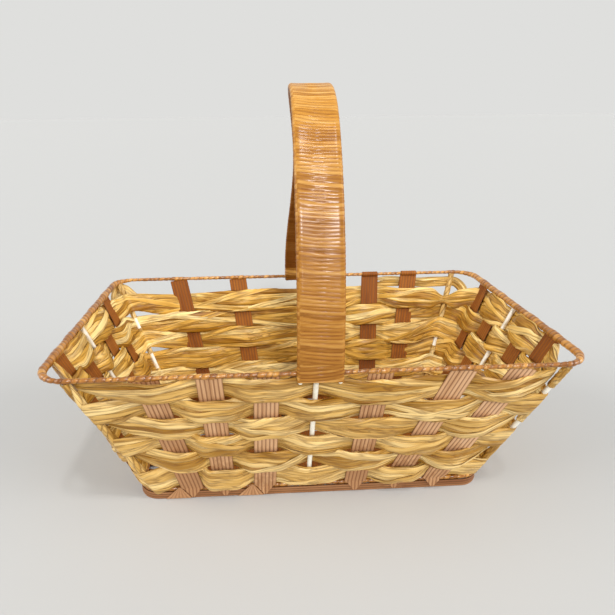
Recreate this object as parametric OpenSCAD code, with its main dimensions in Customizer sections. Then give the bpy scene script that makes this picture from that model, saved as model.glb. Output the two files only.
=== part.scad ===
// Trug garden basket: a wire frame wound with strip, flat strap stakes, soft ribbon weavers
// and a flat wound handle that arches over the long side's middle.
// Millimetres, +Z up, +X along the length, origin at the middle of the underside.

/* [Rim] */
// Length of the rim over the middle of its wire
rim_l = 350; // [320:1:400]
// Width of the rim over the middle of its wire
rim_w = 200; // [180:1:240]
// Height of the middle of the rim wire above the surface that the basket stands on
rim_z = 121; // [105:1:150]
// Radius of the rim's corners, over the middle of the wire
rim_corner_r = 18; // [14:1:30]

/* [Base] */
// Length of the base over the outside of its edge band
base_l = 264; // [234:1:290]
// Width of the base over the outside of its edge band
base_w = 136; // [120:1:160]
// Radius of the base's corners, over the outside of the edge band
base_corner_r = 16; // [12:1:24]
// Height of the edge band
band_h = 6; // [4:0.5:9]
// Thickness of the edge band
band_t = 1.6; // [1.2:0.1:2.4]

/* [Wire and winding] */
// Diameter of the coated steel wire in the frame and the handle
wire_d = 2.4; // [2:0.1:3.2]
// Thickness of the strip wound on the rim wire and the base wire
winding_t = 0.6; // [0.4:0.1:1]

/* [Strap] */
// Width of the fluted strap in the walls and the base
strap_w = 16.5; // [12:0.5:18]
// Thickness of the fluted strap
strap_t = 1; // [0.8:0.1:1.4]
// Height of the pointed strap ends above the surface that the basket stands on
strap_tip_z = 1; // [0.6:0.1:1.6]
// Length of the point that each strap end is folded to
strap_point = 6; // [4:0.5:8]
// Gap between the underside of the base straps and the surface that the basket stands on
base_lift = 1; // [0.6:0.1:1.6]

/* [Weavers] */
// Thickness of a pressed bundle of ribbons
weaver_t = 3; // [2.4:0.1:3.4]
// How much taller a bundle is where it passes a stake or a post than between them
crossing_spread = 0.6; // [0:0.1:2]
// Gap left between neighbouring rows
row_gap = 0.9; // [0.6:0.1:2]
// Gap between the wound rim wire and the top row, where the row rides highest
top_row_gap = 1.6; // [1.4:0.1:3]
// How far the top row sits below its highest place where the rows run level
top_row_drop = 4; // [2:0.5:8]
// Gap between the wound base wire and the bottom row
bottom_row_gap = 1.3; // [1.1:0.1:2]

/* [Handle] */
// Distance between the middles of the two handle wires
handle_spread = 25; // [20:1:32]
// Height of the handle wires' top above the top of the lashings
handle_rise = 160; // [130:1:190]
// Radius of the handle's top bend, over the middle of the wires
handle_top_r = 70; // [55:1:80]
// Thickness of the strip wound on the handle
handle_winding_t = 1; // [0.6:0.1:1.6]
// Sideways place of the handle's middle
handle_x = 2; // [-6:0.5:6]
// Turn of the handle about the vertical, in degrees
handle_turn = -1; // [-3:0.5:3]
// How far the back half of the handle bows sideways
handle_bow = 7; // [0:0.5:10]
// Height of a lashing above the middle of the rim wire
lash_up = 8; // [6:0.5:12]
// Depth of a lashing below the middle of the rim wire
lash_down = 4; // [3.5:0.5:5]
// Length of each handle wire that shows below its lashing
wire_tail = 1.5; // [0.5:0.1:2]

/* [Hidden] */
row_count = 6;

// Stakes of each wall, as shares of half its straight length at the base and at the rim,
// whether odd rows pass outside them, and how far the rows ride up there. The walls are
// front, right, back and left, each read from its left end as seen from outside.
front_stakes = [[-0.78, -0.69, 1, 7.5], [-0.57, -0.44, 0, 5], [-0.31, -0.21, 1, 4.5],
    [0.28, 0.25, 1, 0.5], [0.54, 0.57, 0, -1.5], [0.80, 0.83, 1, -2]];
right_stakes = [[-0.82, -0.68, 1, 1], [-0.40, -0.31, 0, 3], [0.46, 0.34, 0, 2.5], [0.88, 0.76, 1, -1]];
back_stakes = [[-0.86, -0.72, 0, -7.5], [-0.60, -0.47, 1, -5], [-0.32, -0.23, 0, -5],
    [0.38, 0.37, 0, -6], [0.80, 0.74, 1, -8]];
left_stakes = [[-0.84, -0.66, 1, -2], [-0.34, -0.25, 0, 2.5], [0.44, 0.42, 0, 3], [0.92, 0.76, 1, 4]];
wall_stakes = [front_stakes, right_stakes, back_stakes, left_stakes];
// Middle post of each wall, in the same form, and how many stakes come before it
wall_posts = [[-0.03, -0.01, 0, 3], [0.05, 0.03, 1, 2], [-0.06, -0.05, 1, -5], [0.14, 0.14, 1, 2]];
stakes_before_post = [3, 2, 3, 2];
// Corner post at the right end of each wall: whether odd rows pass outside it, how far the
// rows ride up there, and its angles round the base's and the rim's corner from the long side
corner_posts = [[0, -1, 45, 12], [0, -3, 45, 0], [0, -8, 45, 55], [0, 6, 5, 0]];

// Straps of the base, spread evenly between its corners
base_long_count = 5;
base_cross_count = 9;

// Clearances
strap_fit = 0.1;
weaver_fit = 0.2;
wire_fit = 0.1;
round_fn = 32;
// Sides of the handle wires, and steps along each of the handle's bends
handle_wire_fn = 12;
handle_side_steps = 14;
handle_top_steps = 16;

// Wound wires
wire_r = wire_d / 2;
wound_r = wire_r + winding_t;
base_wire_z = band_h + wound_r;
knee_z = band_h + 2 * wound_r;
wall_h = rim_z - knee_z;

// The middle of the straps runs from just outside the band to the middle of the rim wire
wall_out = strap_fit + strap_t / 2;
foot_half = [base_w / 2 + wall_out, base_l / 2 + wall_out];
rim_half = [rim_w / 2, rim_l / 2];
foot_r = base_corner_r + wall_out;
base_wire_in = wall_out + wound_r;

// Rows
// A bundle's height lies along the wall, which is longer than the rise in height
row_stretch = norm([1, min(rim_half - foot_half) / wall_h]);
top_edge_limit = rim_z - wound_r - top_row_gap;
level_top_z = top_edge_limit - top_row_drop;
row_pitch = (level_top_z - knee_z - bottom_row_gap) / row_count;
// Share of the ride up that the bottom row's upper edge takes part in
bottom_row_ride = 0.75;
post_pass = wire_r + weaver_t / 2 + weaver_fit;
strap_pass = strap_t / 2 + weaver_t / 2 + weaver_fit;
post_hold = wire_r + 1;

// Handle
lash_wall = 1;
lash_half_w = handle_spread / 2 + wire_r + winding_t;
handle_turn_gap = (handle_spread / 2 + wire_r) * abs(sin(handle_turn)) + wire_fit;
handle_half = rim_half[0] + wound_r + wire_r + handle_turn_gap;
spring_z = rim_z + lash_up;
tail_z = rim_z - lash_down - wire_tail;
handle_side_r = (pow(handle_half, 2) + pow(handle_rise - handle_top_r, 2) - pow(handle_top_r, 2))
    / (2 * (handle_half - handle_top_r));
handle_bend = atan2(handle_rise - handle_top_r, handle_side_r - handle_half);
handle_top_half = handle_top_r * (90 - handle_bend) * PI / 180;
handle_half_run = handle_top_half + handle_side_r * handle_bend * PI / 180;

strap_colour = "#A97C5B";
edge_colour = "#A06A44";
weaver_colour = "#D9B268";
winding_colour = "#B9783F";
wire_colour = "#F4EFE0";
handle_colour = "#C98A3C";

// Share of the way from the knee up to the rim
function rise(z) = (z - knee_z) / wall_h;
// Distance of a wall from the middle at a height; walls 0 and 2 are the long ones
function wall_half(wall, z) =
    foot_half[wall % 2] + (rim_half[wall % 2] - foot_half[wall % 2]) * rise(z);
function corner_r(z) = foot_r + (rim_corner_r - foot_r) * rise(z);
// Half the straight length of a wall at a height
function straight_half(wall, z) = wall_half(wall + 1, z) - corner_r(z);
function wall_slope(wall) = (rim_half[wall % 2] - foot_half[wall % 2]) / wall_h;
// Place of a stake or a middle post along its wall
function along(spot, wall, z) =
    spot[0] * straight_half(wall, knee_z) * (1 - rise(z)) + spot[1] * straight_half(wall, rim_z) * rise(z);
function turn_z(v, a) = [v[0] * cos(a) - v[1] * sin(a), v[0] * sin(a) + v[1] * cos(a), v[2]];

function wall_slope_angle(wall) = atan(wall_slope(wall));
// Level direction that a wall faces
function wall_out_angle(wall) = 90 * wall - 90;
function level_dir(a) = [cos(a), sin(a), 0];

// Ends of the frame posts, on the middles of the base wire and the rim wire
function middle_post_low(wall) = turn_z(
    [along(wall_posts[wall], wall, knee_z), -foot_half[wall % 2] + base_wire_in, base_wire_z], 90 * wall);
function middle_post_high(wall) = turn_z(
    [along(wall_posts[wall], wall, rim_z), -rim_half[wall % 2], rim_z], 90 * wall);
// Corner posts stand on the bends of the base wire and reach the bends of the rim wire.
// Corner 0 is at the right end of the front wall.
function corner_side(corner) = [corner == 0 || corner == 1 ? 1 : -1, corner == 1 || corner == 2 ? 1 : -1];
// Point on a bend, an angle round it from the long side
function on_bend(corner, half, r, angle, z) =
    let (side = corner_side(corner))
    [side[0] * (half[1] - r + r * sin(angle)), side[1] * (half[0] - r + r * cos(angle)), z];
function corner_post_low(corner) = on_bend(
    corner, [base_w / 2 - wound_r, base_l / 2 - wound_r], base_corner_r - wound_r, corner_posts[corner][2],
    base_wire_z);
function corner_post_high(corner) = on_bend(corner, rim_half, rim_corner_r, corner_posts[corner][3], rim_z);
function at_height(low, high, z) = low + (high - low) * (z - low[2]) / (high[2] - low[2]);

// Heights of the edges between rows, 0 above the top row, where the rows ride up by an amount
function edge_z(edge, ride) =
    let (level = level_top_z - edge * row_pitch)
    edge == 0 ? min(level + ride, top_edge_limit)
    : edge == row_count ? level
    : level + ride * (edge == row_count - 1 ? bottom_row_ride : 1);
function row_z(row, ride) = (edge_z(row - 1, ride) + edge_z(row, ride)) / 2;
// Height of a bundle along the wall
function bundle_h(row, ride) = (edge_z(row - 1, ride) - edge_z(row, ride)) * row_stretch - row_gap;
function crossing_h(row, ride) = bundle_h(row, ride) + crossing_spread;
// Which side a row passes on, outwards positive
function pass_side(out_on_odd, row) = (row % 2 == 1) == (out_on_odd == 1) ? 1 : -1;

// Direction up a wall
function wall_up(wall) =
    level_dir(wall_out_angle(wall)) * sin(wall_slope_angle(wall)) + [0, 0, cos(wall_slope_angle(wall))];
function unit(v) = v / norm(v);
// Sideways lean of a stake in its wall
function stake_fan(spot, wall) = atan2(
    along(spot, wall, rim_z) - along(spot, wall, knee_z), wall_h / cos(wall_slope_angle(wall)));
// Half the length over which a row lies flat against a stake
function strap_hold(row, wall, spot) =
    let (fan = abs(stake_fan(spot, wall)))
    strap_w / 2 / cos(fan) + crossing_h(row, spot[3]) / 2 * tan(fan) + row_gap;

// A station of a row: [middle of the wall there, level direction outwards, direction up,
// offset, height, how far the rows ride up]
function stake_stations(row, wall, spot) =
    let (
        z = row_z(row, spot[3]),
        p = turn_z([along(spot, wall, z), -wall_half(wall, z), z], 90 * wall),
        out = level_dir(wall_out_angle(wall)),
        run = level_dir(wall_out_angle(wall) + 90))
    [for (step = [-1, 0, 1])
        [p + run * step * strap_hold(row, wall, spot), out, wall_up(wall),
            pass_side(spot[2], row) * strap_pass, crossing_h(row, spot[3]), spot[3]]];

function middle_post_stations(row, wall) =
    let (
        spot = wall_posts[wall],
        low = middle_post_low(wall),
        high = middle_post_high(wall),
        p = at_height(low, high, row_z(row, spot[3])),
        out = level_dir(wall_out_angle(wall)),
        run = level_dir(wall_out_angle(wall) + 90))
    [for (step = [-1, 0, 1])
        [p + run * step * post_hold, out, unit(high - low),
            pass_side(spot[2], row) * post_pass, crossing_h(row, spot[3]), spot[3]]];

// Outside a corner post a row turns round it; inside, it cuts across
function corner_stations(row, wall) =
    let (
        spot = corner_posts[wall],
        low = corner_post_low(wall),
        high = corner_post_high(wall),
        p = at_height(low, high, row_z(row, spot[1])),
        outside = pass_side(spot[0], row) > 0,
        offset = outside ? post_pass : -post_pass * sqrt(2))
    [for (turn = outside ? [15, 45, 75] : [45])
        [p, level_dir(wall_out_angle(wall) + turn), unit(high - low), offset,
            crossing_h(row, spot[1]), spot[1]]];

function wall_stations(row, wall) =
    let (stakes = wall_stakes[wall], before = stakes_before_post[wall])
    concat(
        [for (i = [0 : before - 1]) stake_stations(row, wall, stakes[i])],
        [middle_post_stations(row, wall)],
        [for (i = [before : len(stakes) - 1]) stake_stations(row, wall, stakes[i])],
        [corner_stations(row, wall)]);

// Half way between two crossings the bundle changes sides
function halfway(row, a, b) =
    [(a[0] + b[0]) / 2, unit(a[1] + b[1]), unit(a[2] + b[2]), (a[3] + b[3]) / 2,
        bundle_h(row, (a[5] + b[5]) / 2)];

function row_stations(row) =
    let (crossings = [for (wall = [0 : 3]) each wall_stations(row, wall)], n = len(crossings))
    [for (i = [0 : n - 1])
        let (this = crossings[i], next = crossings[(i + 1) % n])
        each concat(this, [halfway(row, this[len(this) - 1], next[0])])];

// The bundle's outline across its run: [up the wall, outwards]
function bundle_outline(h) = [
    [h / 2, -weaver_t / 4], [h / 2, weaver_t / 4], [h * 0.36, weaver_t / 2], [-h * 0.36, weaver_t / 2],
    [-h / 2, weaver_t / 4], [-h / 2, -weaver_t / 4], [-h * 0.36, -weaver_t / 2], [h * 0.36, -weaver_t / 2]];

function station_ring(s) =
    let (out = unit(s[1] - s[2] * (s[1] * s[2])))
    [for (q = bundle_outline(s[4])) s[0] + out * (s[3] + q[1]) + s[2] * q[0]];

module closed_sweep(rings) {
    n = len(rings);
    m = len(rings[0]);
    faces = [for (i = [0 : n - 1]) for (j = [0 : m - 1])
        let (
            a = i * m + j,
            b = i * m + (j + 1) % m,
            c = ((i + 1) % n) * m + (j + 1) % m,
            d = ((i + 1) % n) * m + j)
        each [[a, c, b], [a, d, c]]];
    polyhedron([for (r = rings) each r], faces);
}

module weaver_row(row) {
    color(weaver_colour)
        closed_sweep([for (s = row_stations(row)) station_ring(s)]);
}

// Carries a flat profile round a rounded rectangle given over the profile's middle
module round_rectangle_path(l, w, r, z) {
    for (side = [0 : 3]) {
        across = side % 2 == 0 ? w : l;
        length = side % 2 == 0 ? l : w;
        rotate([0, 0, 90 * side]) {
            translate([-length / 2 + r, -across / 2, z])
                rotate([90, 0, 90])
                    linear_extrude(length - 2 * r)
                        children();
            translate([length / 2 - r, -across / 2 + r, z])
                rotate([0, 0, -90])
                    rotate_extrude(angle = 90, $fn = round_fn)
                        translate([r, 0])
                            children();
        }
    }
}

module wire_profile() {
    circle(r = wire_r, $fn = round_fn);
}

module winding_profile() {
    difference() {
        circle(r = wound_r, $fn = round_fn);
        circle(r = wire_r, $fn = round_fn);
    }
}

module rim_path() {
    round_rectangle_path(rim_l, rim_w, rim_corner_r, rim_z)
        children();
}

module base_path() {
    inset = wound_r;
    round_rectangle_path(base_l - 2 * inset, base_w - 2 * inset, base_corner_r - inset, base_wire_z)
        children();
}

module rim_wire() {
    color(wire_colour)
        rim_path()
            wire_profile();
}

module rim_winding() {
    color(winding_colour)
        rim_path()
            winding_profile();
}

module base_wire() {
    color(wire_colour)
        base_path()
            wire_profile();
}

module base_winding() {
    color(winding_colour)
        base_path()
            winding_profile();
}

module rounded_outline(l, w, r) {
    hull()
        for (x = [-1, 1])
            for (y = [-1, 1])
                translate([x * (l / 2 - r), y * (w / 2 - r)])
                    circle(r = r, $fn = round_fn);
}

module base_edge_band() {
    color(edge_colour)
        linear_extrude(band_h)
            difference() {
                rounded_outline(base_l, base_w, base_corner_r);
                rounded_outline(base_l - 2 * band_t, base_w - 2 * band_t, base_corner_r - band_t);
            }
}

// A round wire between two points
module wire_between(from, to) {
    v = to - from;
    level = norm([v[0], v[1]]);
    translate(from)
        rotate([0, atan2(level, v[2]), atan2(v[1], v[0])])
            cylinder(r = wire_r, h = norm(v), $fn = round_fn);
}

// A frame post stands between the wound base wire and the wound rim wire
module frame_post(from, to) {
    color(wire_colour)
        difference() {
            wire_between(from, to);
            rim_path()
                circle(r = wound_r, $fn = round_fn);
            base_path()
                circle(r = wound_r, $fn = round_fn);
        }
}

module corner_post(corner) {
    frame_post(corner_post_low(corner), corner_post_high(corner));
}

module middle_post(wall) {
    frame_post(middle_post_low(wall), middle_post_high(wall));
}

// A stake: a strap up the wall to the wound rim, and a pointed foot over the edge band
module wall_stake(wall, index) {
    spot = wall_stakes[wall][index - 1];
    low_x = along(spot, wall, knee_z);
    lean = wall_slope_angle(wall);
    climb = wall_h / cos(lean);
    fan = stake_fan(spot, wall);
    color(strap_colour)
        rotate([0, 0, 90 * wall])
            difference() {
                union() {
                    difference() {
                        translate([low_x, -foot_half[wall % 2], knee_z])
                            rotate([lean, 0, 0])
                                rotate([0, fan, 0])
                                    translate([-strap_w / 2, -strap_t / 2, -strap_w / 2])
                                        cube([strap_w, strap_t, climb / cos(fan) + strap_w / 2]);
                        translate([low_x - strap_w, -foot_half[wall % 2] - strap_w, knee_z - strap_w])
                            cube([2 * strap_w, 2 * strap_w, strap_w]);
                    }
                    translate([low_x, -foot_half[wall % 2] + strap_t / 2, 0])
                        rotate([90, 0, 0])
                            linear_extrude(strap_t)
                                polygon([
                                    [-strap_w / 2, knee_z + strap_t / 4],
                                    [-strap_w / 2, strap_tip_z + strap_point],
                                    [0, strap_tip_z],
                                    [strap_w / 2, strap_tip_z + strap_point],
                                    [strap_w / 2, knee_z + strap_t / 4]]);
                }
                translate([-rim_l / 2, -rim_half[wall % 2], rim_z]) {
                    rotate([0, 90, 0])
                        cylinder(r = wound_r, h = rim_l, $fn = round_fn);
                    translate([0, -strap_w, 0])
                        cube([rim_l, 2 * strap_w, strap_w]);
                }
            }
}

// Middle of one strap of a row that fills a straight stretch from end to end
function even_place(index, count, half) = (2 * (index - 1) / (count - 1) - 1) * (half - strap_w / 2);

module base_long_strap(index) {
    length = base_l - 2 * band_t;
    y = even_place(index, base_long_count, base_w / 2 - base_corner_r);
    color(strap_colour)
        translate([-length / 2, y - strap_w / 2, base_lift])
            cube([length, strap_w, strap_t]);
}

module base_cross_strap(index) {
    length = base_w - 2 * band_t;
    x = even_place(index, base_cross_count, base_l / 2 - base_corner_r);
    color(strap_colour)
        translate([x - strap_w / 2, -length / 2, base_lift + strap_t])
            cube([strap_w, length, strap_t]);
}

// Stations of the handle from its front foot to its back foot:
// [depth, height, outwards in depth, outwards in height, distance past the top]
function arch_station(depth, z, r, a, past_top) =
    [depth + r * cos(a), z + r * sin(a), cos(a), sin(a), past_top];
function side_arch(end, a) =
    arch_station(end * (handle_half - handle_side_r), spring_z, handle_side_r, end < 0 ? 180 - a : a,
        end * (handle_top_half + handle_side_r * (handle_bend - a) * PI / 180));
function arch_stations() = concat(
    [for (i = [0 : handle_side_steps]) side_arch(-1, handle_bend * i / handle_side_steps)],
    [for (i = [1 : handle_top_steps - 1])
        let (a = 180 - handle_bend - (180 - 2 * handle_bend) * i / handle_top_steps)
        arch_station(0, spring_z + handle_rise - handle_top_r, handle_top_r, a,
            handle_top_r * (90 - a) * PI / 180)],
    [for (i = [handle_side_steps : -1 : 0]) side_arch(1, handle_bend * i / handle_side_steps)]);
function bow(past_top) = handle_bow * pow(sin(180 * max(past_top, 0) / handle_half_run), 2);

// A flat ring (sideways, outwards) at each station
function arch_rings(stations, ring) = [for (s = stations)
    [for (q = ring) [q[0] + bow(s[4]), s[0] + q[1] * s[2], s[1] + q[1] * s[3]]]];

function sweep_sides(n, m, first) = [for (i = [0 : n - 2]) for (j = [0 : m - 1])
    let (
        a = first + i * m + j,
        b = first + i * m + (j + 1) % m,
        c = b + m,
        d = a + m)
    each [[a, b, c], [a, c, d]]];
function flipped(faces) = [for (f = faces) [f[0], f[2], f[1]]];

module solid_sweep(rings) {
    n = len(rings);
    m = len(rings[0]);
    polyhedron([for (r = rings) each r], concat(
        sweep_sides(n, m, 0),
        [[for (j = [m - 1 : -1 : 0]) j], [for (j = [0 : m - 1]) (n - 1) * m + j]]));
}

module hollow_sweep(outer, inner) {
    n = len(outer);
    m = len(outer[0]);
    in = n * m;
    last = (n - 1) * m;
    polyhedron([for (r = concat(outer, inner)) each r], concat(
        sweep_sides(n, m, 0),
        flipped(sweep_sides(n, m, in)),
        [for (j = [0 : m - 1]) let (k = (j + 1) % m)
            each [[j, in + j, in + k], [j, in + k, k], [last + j, last + in + k, last + in + j],
                [last + j, last + k, last + in + k]]]));
}

module place_handle() {
    translate([handle_x, 0, 0])
        rotate([0, 0, handle_turn])
            children();
}

function handle_wire_ring(side) = [for (i = [0 : handle_wire_fn - 1])
    let (a = (i + 0.5) * 360 / handle_wire_fn)
    [side * handle_spread / 2 + wire_r * cos(a), wire_r * sin(a)]];
// A handle wire follows the arch and runs straight down past the rim at both ends
module handle_wire(side) {
    tail = function (end) [end * handle_half, tail_z, end, 0, end * handle_half_run];
    color(wire_colour)
        place_handle()
            solid_sweep(arch_rings(
                concat([tail(-1)], arch_stations(), [tail(1)]), handle_wire_ring(side)));
}

// Two half rounds joined by flats, as far out from both wires as given
function flat_tube_ring(out) = [for (side = [1, -1]) for (i = [0 : handle_wire_fn / 2])
    let (a = i * 360 / handle_wire_fn - 90)
    [side * (handle_spread / 2 + (wire_r + out) * cos(a)), side * (wire_r + out) * sin(a)]];

module handle_winding() {
    color(handle_colour)
        place_handle()
            hollow_sweep(
                arch_rings(arch_stations(), flat_tube_ring(handle_winding_t)),
                arch_rings(arch_stations(), flat_tube_ring(wire_fit)));
}

// A lashing: strip wound round the rim and both handle wires
module handle_lashing(end) {
    bottom_z = rim_z - lash_down;
    color(handle_colour)
        difference() {
            place_handle()
                translate([-lash_half_w, 0, 0])
                    rotate([90, 0, 90])
                        linear_extrude(2 * lash_half_w)
                            hull() {
                                translate([end * rim_half[0], rim_z])
                                    circle(r = wound_r + lash_wall, $fn = round_fn);
                                translate([end * handle_half - wire_r - handle_winding_t, bottom_z])
                                    square([2 * (wire_r + handle_winding_t), spring_z - bottom_z]);
                            }
            translate([-rim_l / 2, end * rim_half[0], rim_z])
                rotate([0, 90, 0])
                    cylinder(r = wound_r, h = rim_l, $fn = round_fn);
            place_handle()
                for (side = [-1, 1])
                    translate([side * handle_spread / 2, end * handle_half, bottom_z - 1])
                        cylinder(r = wire_r, h = spring_z - bottom_z + 2, $fn = round_fn);
            wire_between(middle_post_low(end + 1), middle_post_high(end + 1));
        }
}

rim_wire();
rim_winding();
base_wire();
base_winding();
base_edge_band();
handle_wire(-1);  // handle_wire_left
handle_wire(1);  // handle_wire_right
handle_winding();
handle_lashing(-1);  // handle_lashing_front
handle_lashing(1);  // handle_lashing_back
middle_post(0);  // middle_post_front
middle_post(1);  // middle_post_right
middle_post(2);  // middle_post_back
middle_post(3);  // middle_post_left
for (i = [1 : 4])
    corner_post(i - 1);
for (i = [1 : len(front_stakes)])
    wall_stake(0, i);
for (i = [1 : len(right_stakes)])
    wall_stake(1, i);
for (i = [1 : len(back_stakes)])
    wall_stake(2, i);
for (i = [1 : len(left_stakes)])
    wall_stake(3, i);
for (i = [1 : row_count])
    weaver_row(i);
for (i = [1 : base_long_count])
    base_long_strap(i);
for (i = [1 : base_cross_count])
    base_cross_strap(i);
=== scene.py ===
"""Trug garden basket: its looks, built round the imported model.

The basket is woven from bundles of straw-gold leaf ribbons, in and out of fluted strap
stakes and cream coated wires, on a wire frame wound with brown strip. A flat handle,
wound with amber strip, arches over the middle.

Sizes in this file are millimetres unless a name says otherwise; a mesh is turned to
metres when it is made.
"""

from __future__ import annotations

import logging
import math
from dataclasses import dataclass, field
from enum import Enum

import bmesh
import bpy
import numpy as np
from mathutils import Matrix, Vector


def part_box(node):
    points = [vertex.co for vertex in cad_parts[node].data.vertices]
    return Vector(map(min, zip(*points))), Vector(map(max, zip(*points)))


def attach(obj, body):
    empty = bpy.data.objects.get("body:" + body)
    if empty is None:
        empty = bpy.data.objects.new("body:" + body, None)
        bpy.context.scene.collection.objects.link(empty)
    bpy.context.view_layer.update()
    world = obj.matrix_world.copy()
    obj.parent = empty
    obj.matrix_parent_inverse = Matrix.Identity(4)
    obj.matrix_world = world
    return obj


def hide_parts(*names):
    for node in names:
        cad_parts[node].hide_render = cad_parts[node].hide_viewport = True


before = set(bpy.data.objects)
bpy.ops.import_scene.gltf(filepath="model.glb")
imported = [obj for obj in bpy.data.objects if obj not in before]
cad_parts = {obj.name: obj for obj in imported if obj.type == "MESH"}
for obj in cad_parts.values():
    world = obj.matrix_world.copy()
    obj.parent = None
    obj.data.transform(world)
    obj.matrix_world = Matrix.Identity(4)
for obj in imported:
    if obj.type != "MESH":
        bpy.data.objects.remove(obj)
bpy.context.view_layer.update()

MM = 0.001
FULL_TURN = 2 * math.pi
LOG = logging.getLogger("trug_basket")


class WallSide(Enum):
    """The four walls, with the turn from the front wall in quarter turns."""

    FRONT = 0
    RIGHT = 1
    BACK = 2
    LEFT = 3


class Crossed(Enum):
    """What a row of weavers crosses, with half the length over which it is held."""

    STRAP = 9.5
    POST = 2.4
    CORNER = 0.0


def unit(vectors: np.ndarray) -> np.ndarray:
    """Scale vectors to length one.

    Args:
        vectors: Any array whose last axis holds x, y and z.

    Returns:
        The same directions, each of length one.
    """
    return vectors / np.linalg.norm(vectors, axis=-1, keepdims=True)


def smoothstep(share: np.ndarray) -> np.ndarray:
    """Ease a share from 0 to 1 with level ends."""
    share = np.clip(share, 0, 1)
    return share * share * (3 - 2 * share)


def wander(rng: np.random.Generator, steps: int, knots: int, columns: int = 1, closed: bool = True) -> np.ndarray:
    """Make smooth noise along a run.

    Args:
        rng: Seeded source of random numbers.
        steps: Number of samples.
        knots: Number of independent values that the noise passes through.
        columns: Number of separate noises.
        closed: Whether the end meets the start.

    Returns:
        An array of steps by columns, from -1 to 1.
    """
    values = rng.uniform(-1, 1, (knots, columns))
    values = np.vstack([values, values[:1]]) if closed else np.vstack([values, values[-1:]])
    place = np.linspace(0, knots if closed else knots - 1, steps, endpoint=not closed)
    low = np.minimum(place.astype(int), knots - 1)
    blend = smoothstep(place - low)[:, None]
    return values[low] * (1 - blend) + values[low + 1] * blend


def smooth_run(keys: np.ndarray, steps: int, closed: bool) -> tuple[np.ndarray, np.ndarray]:
    """Run a smooth curve through key points.

    Args:
        keys: The points that the curve passes, in order.
        steps: Number of samples, evenly spaced along the curve.
        closed: Whether the curve returns to its first key.

    Returns:
        The samples, and the place of each among the keys.
    """
    if not closed:
        keys = np.vstack([2 * keys[0] - keys[1], keys, 2 * keys[-1] - keys[-2]])
    count = len(keys)
    chord = np.sqrt(np.linalg.norm(np.roll(keys, -1, axis=0) - keys, axis=1))
    spans = range(count) if closed else range(1, count - 2)
    places, fine = [], []
    for i in spans:
        p = [keys[(i + k) % count] for k in (-1, 0, 1, 2)]
        t = np.concatenate([[0], np.cumsum([chord[(i + k) % count] for k in (-1, 0, 1)])])
        for share in np.linspace(0, 1, 24, endpoint=False):
            at = t[1] + (t[2] - t[1]) * share
            a = [p[k] * (t[k + 1] - at) / (t[k + 1] - t[k]) + p[k + 1] * (at - t[k]) / (t[k + 1] - t[k])
                 for k in range(3)]
            b = [a[k] * (t[k + 2] - at) / (t[k + 2] - t[k]) + a[k + 1] * (at - t[k]) / (t[k + 2] - t[k])
                 for k in range(2)]
            fine.append(b[0] * (t[2] - at) / (t[2] - t[1]) + b[1] * (at - t[1]) / (t[2] - t[1]))
            places.append(i + share - spans[0])
    fine.append(keys[spans[0]] if closed else keys[-2])
    places.append(len(spans))
    fine = np.array(fine)
    travelled = np.concatenate([[0], np.cumsum(np.linalg.norm(np.diff(fine, axis=0), axis=1))])
    wanted = np.linspace(0, travelled[-1], steps, endpoint=not closed)
    points = np.stack([np.interp(wanted, travelled, fine[:, k]) for k in range(3)], axis=1)
    return points, np.interp(wanted, travelled, places)


def node_points(node: str) -> np.ndarray:
    """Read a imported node's vertices in millimetres."""
    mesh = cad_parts[node].data
    points = np.empty(len(mesh.vertices) * 3)
    mesh.vertices.foreach_get("co", points)
    return points.reshape(-1, 3) / MM


def node_box(node: str) -> tuple[np.ndarray, np.ndarray]:
    """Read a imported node's lowest and highest corner in millimetres."""
    low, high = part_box(node)
    return np.array(low) / MM, np.array(high) / MM


def nodes_like(prefix: str) -> list[str]:
    """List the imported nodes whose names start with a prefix, in order."""
    return sorted(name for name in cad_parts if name.startswith(prefix))


def linear_colour(hex_code: str) -> tuple[float, float, float, float]:
    """Turn an sRGB hex colour to linear red, green, blue and alpha."""
    shares = [int(hex_code[i:i + 2], 16) / 255 for i in (1, 3, 5)]
    return (*(s / 12.92 if s <= 0.04045 else ((s + 0.055) / 1.055) ** 2.4 for s in shares), 1.0)


def add_node(tree: bpy.types.NodeTree, kind: str, settings: dict, links: dict | None = None) -> bpy.types.Node:
    """Add a shader node with its settings and links.

    Args:
        tree: The node tree that takes the node.
        kind: The node's type name.
        settings: Values by property name, or by input name or number.
        links: Output sockets by the input name or number that they feed.

    Returns:
        The new node.
    """
    node = tree.nodes.new(kind)
    for key, value in settings.items():
        if isinstance(key, str) and hasattr(node, key):
            setattr(node, key, value)
        else:
            node.inputs[key].default_value = value
    for key, socket in (links or {}).items():
        tree.links.new(socket, node.inputs[key])
    return node


def new_material(name: str) -> tuple[bpy.types.Material, bpy.types.NodeTree, bpy.types.Node]:
    """Make an empty node material.

    Args:
        name: The material's name.

    Returns:
        The material, its tree and its Principled shader, already linked to the output.
    """
    material = bpy.data.materials.new(name)
    material.use_nodes = True
    tree = material.node_tree
    tree.nodes.clear()
    shader = add_node(tree, "ShaderNodeBsdfPrincipled", {})
    add_node(tree, "ShaderNodeOutputMaterial", {}, {"Surface": shader.outputs["BSDF"]})
    return material, tree, shader


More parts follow.
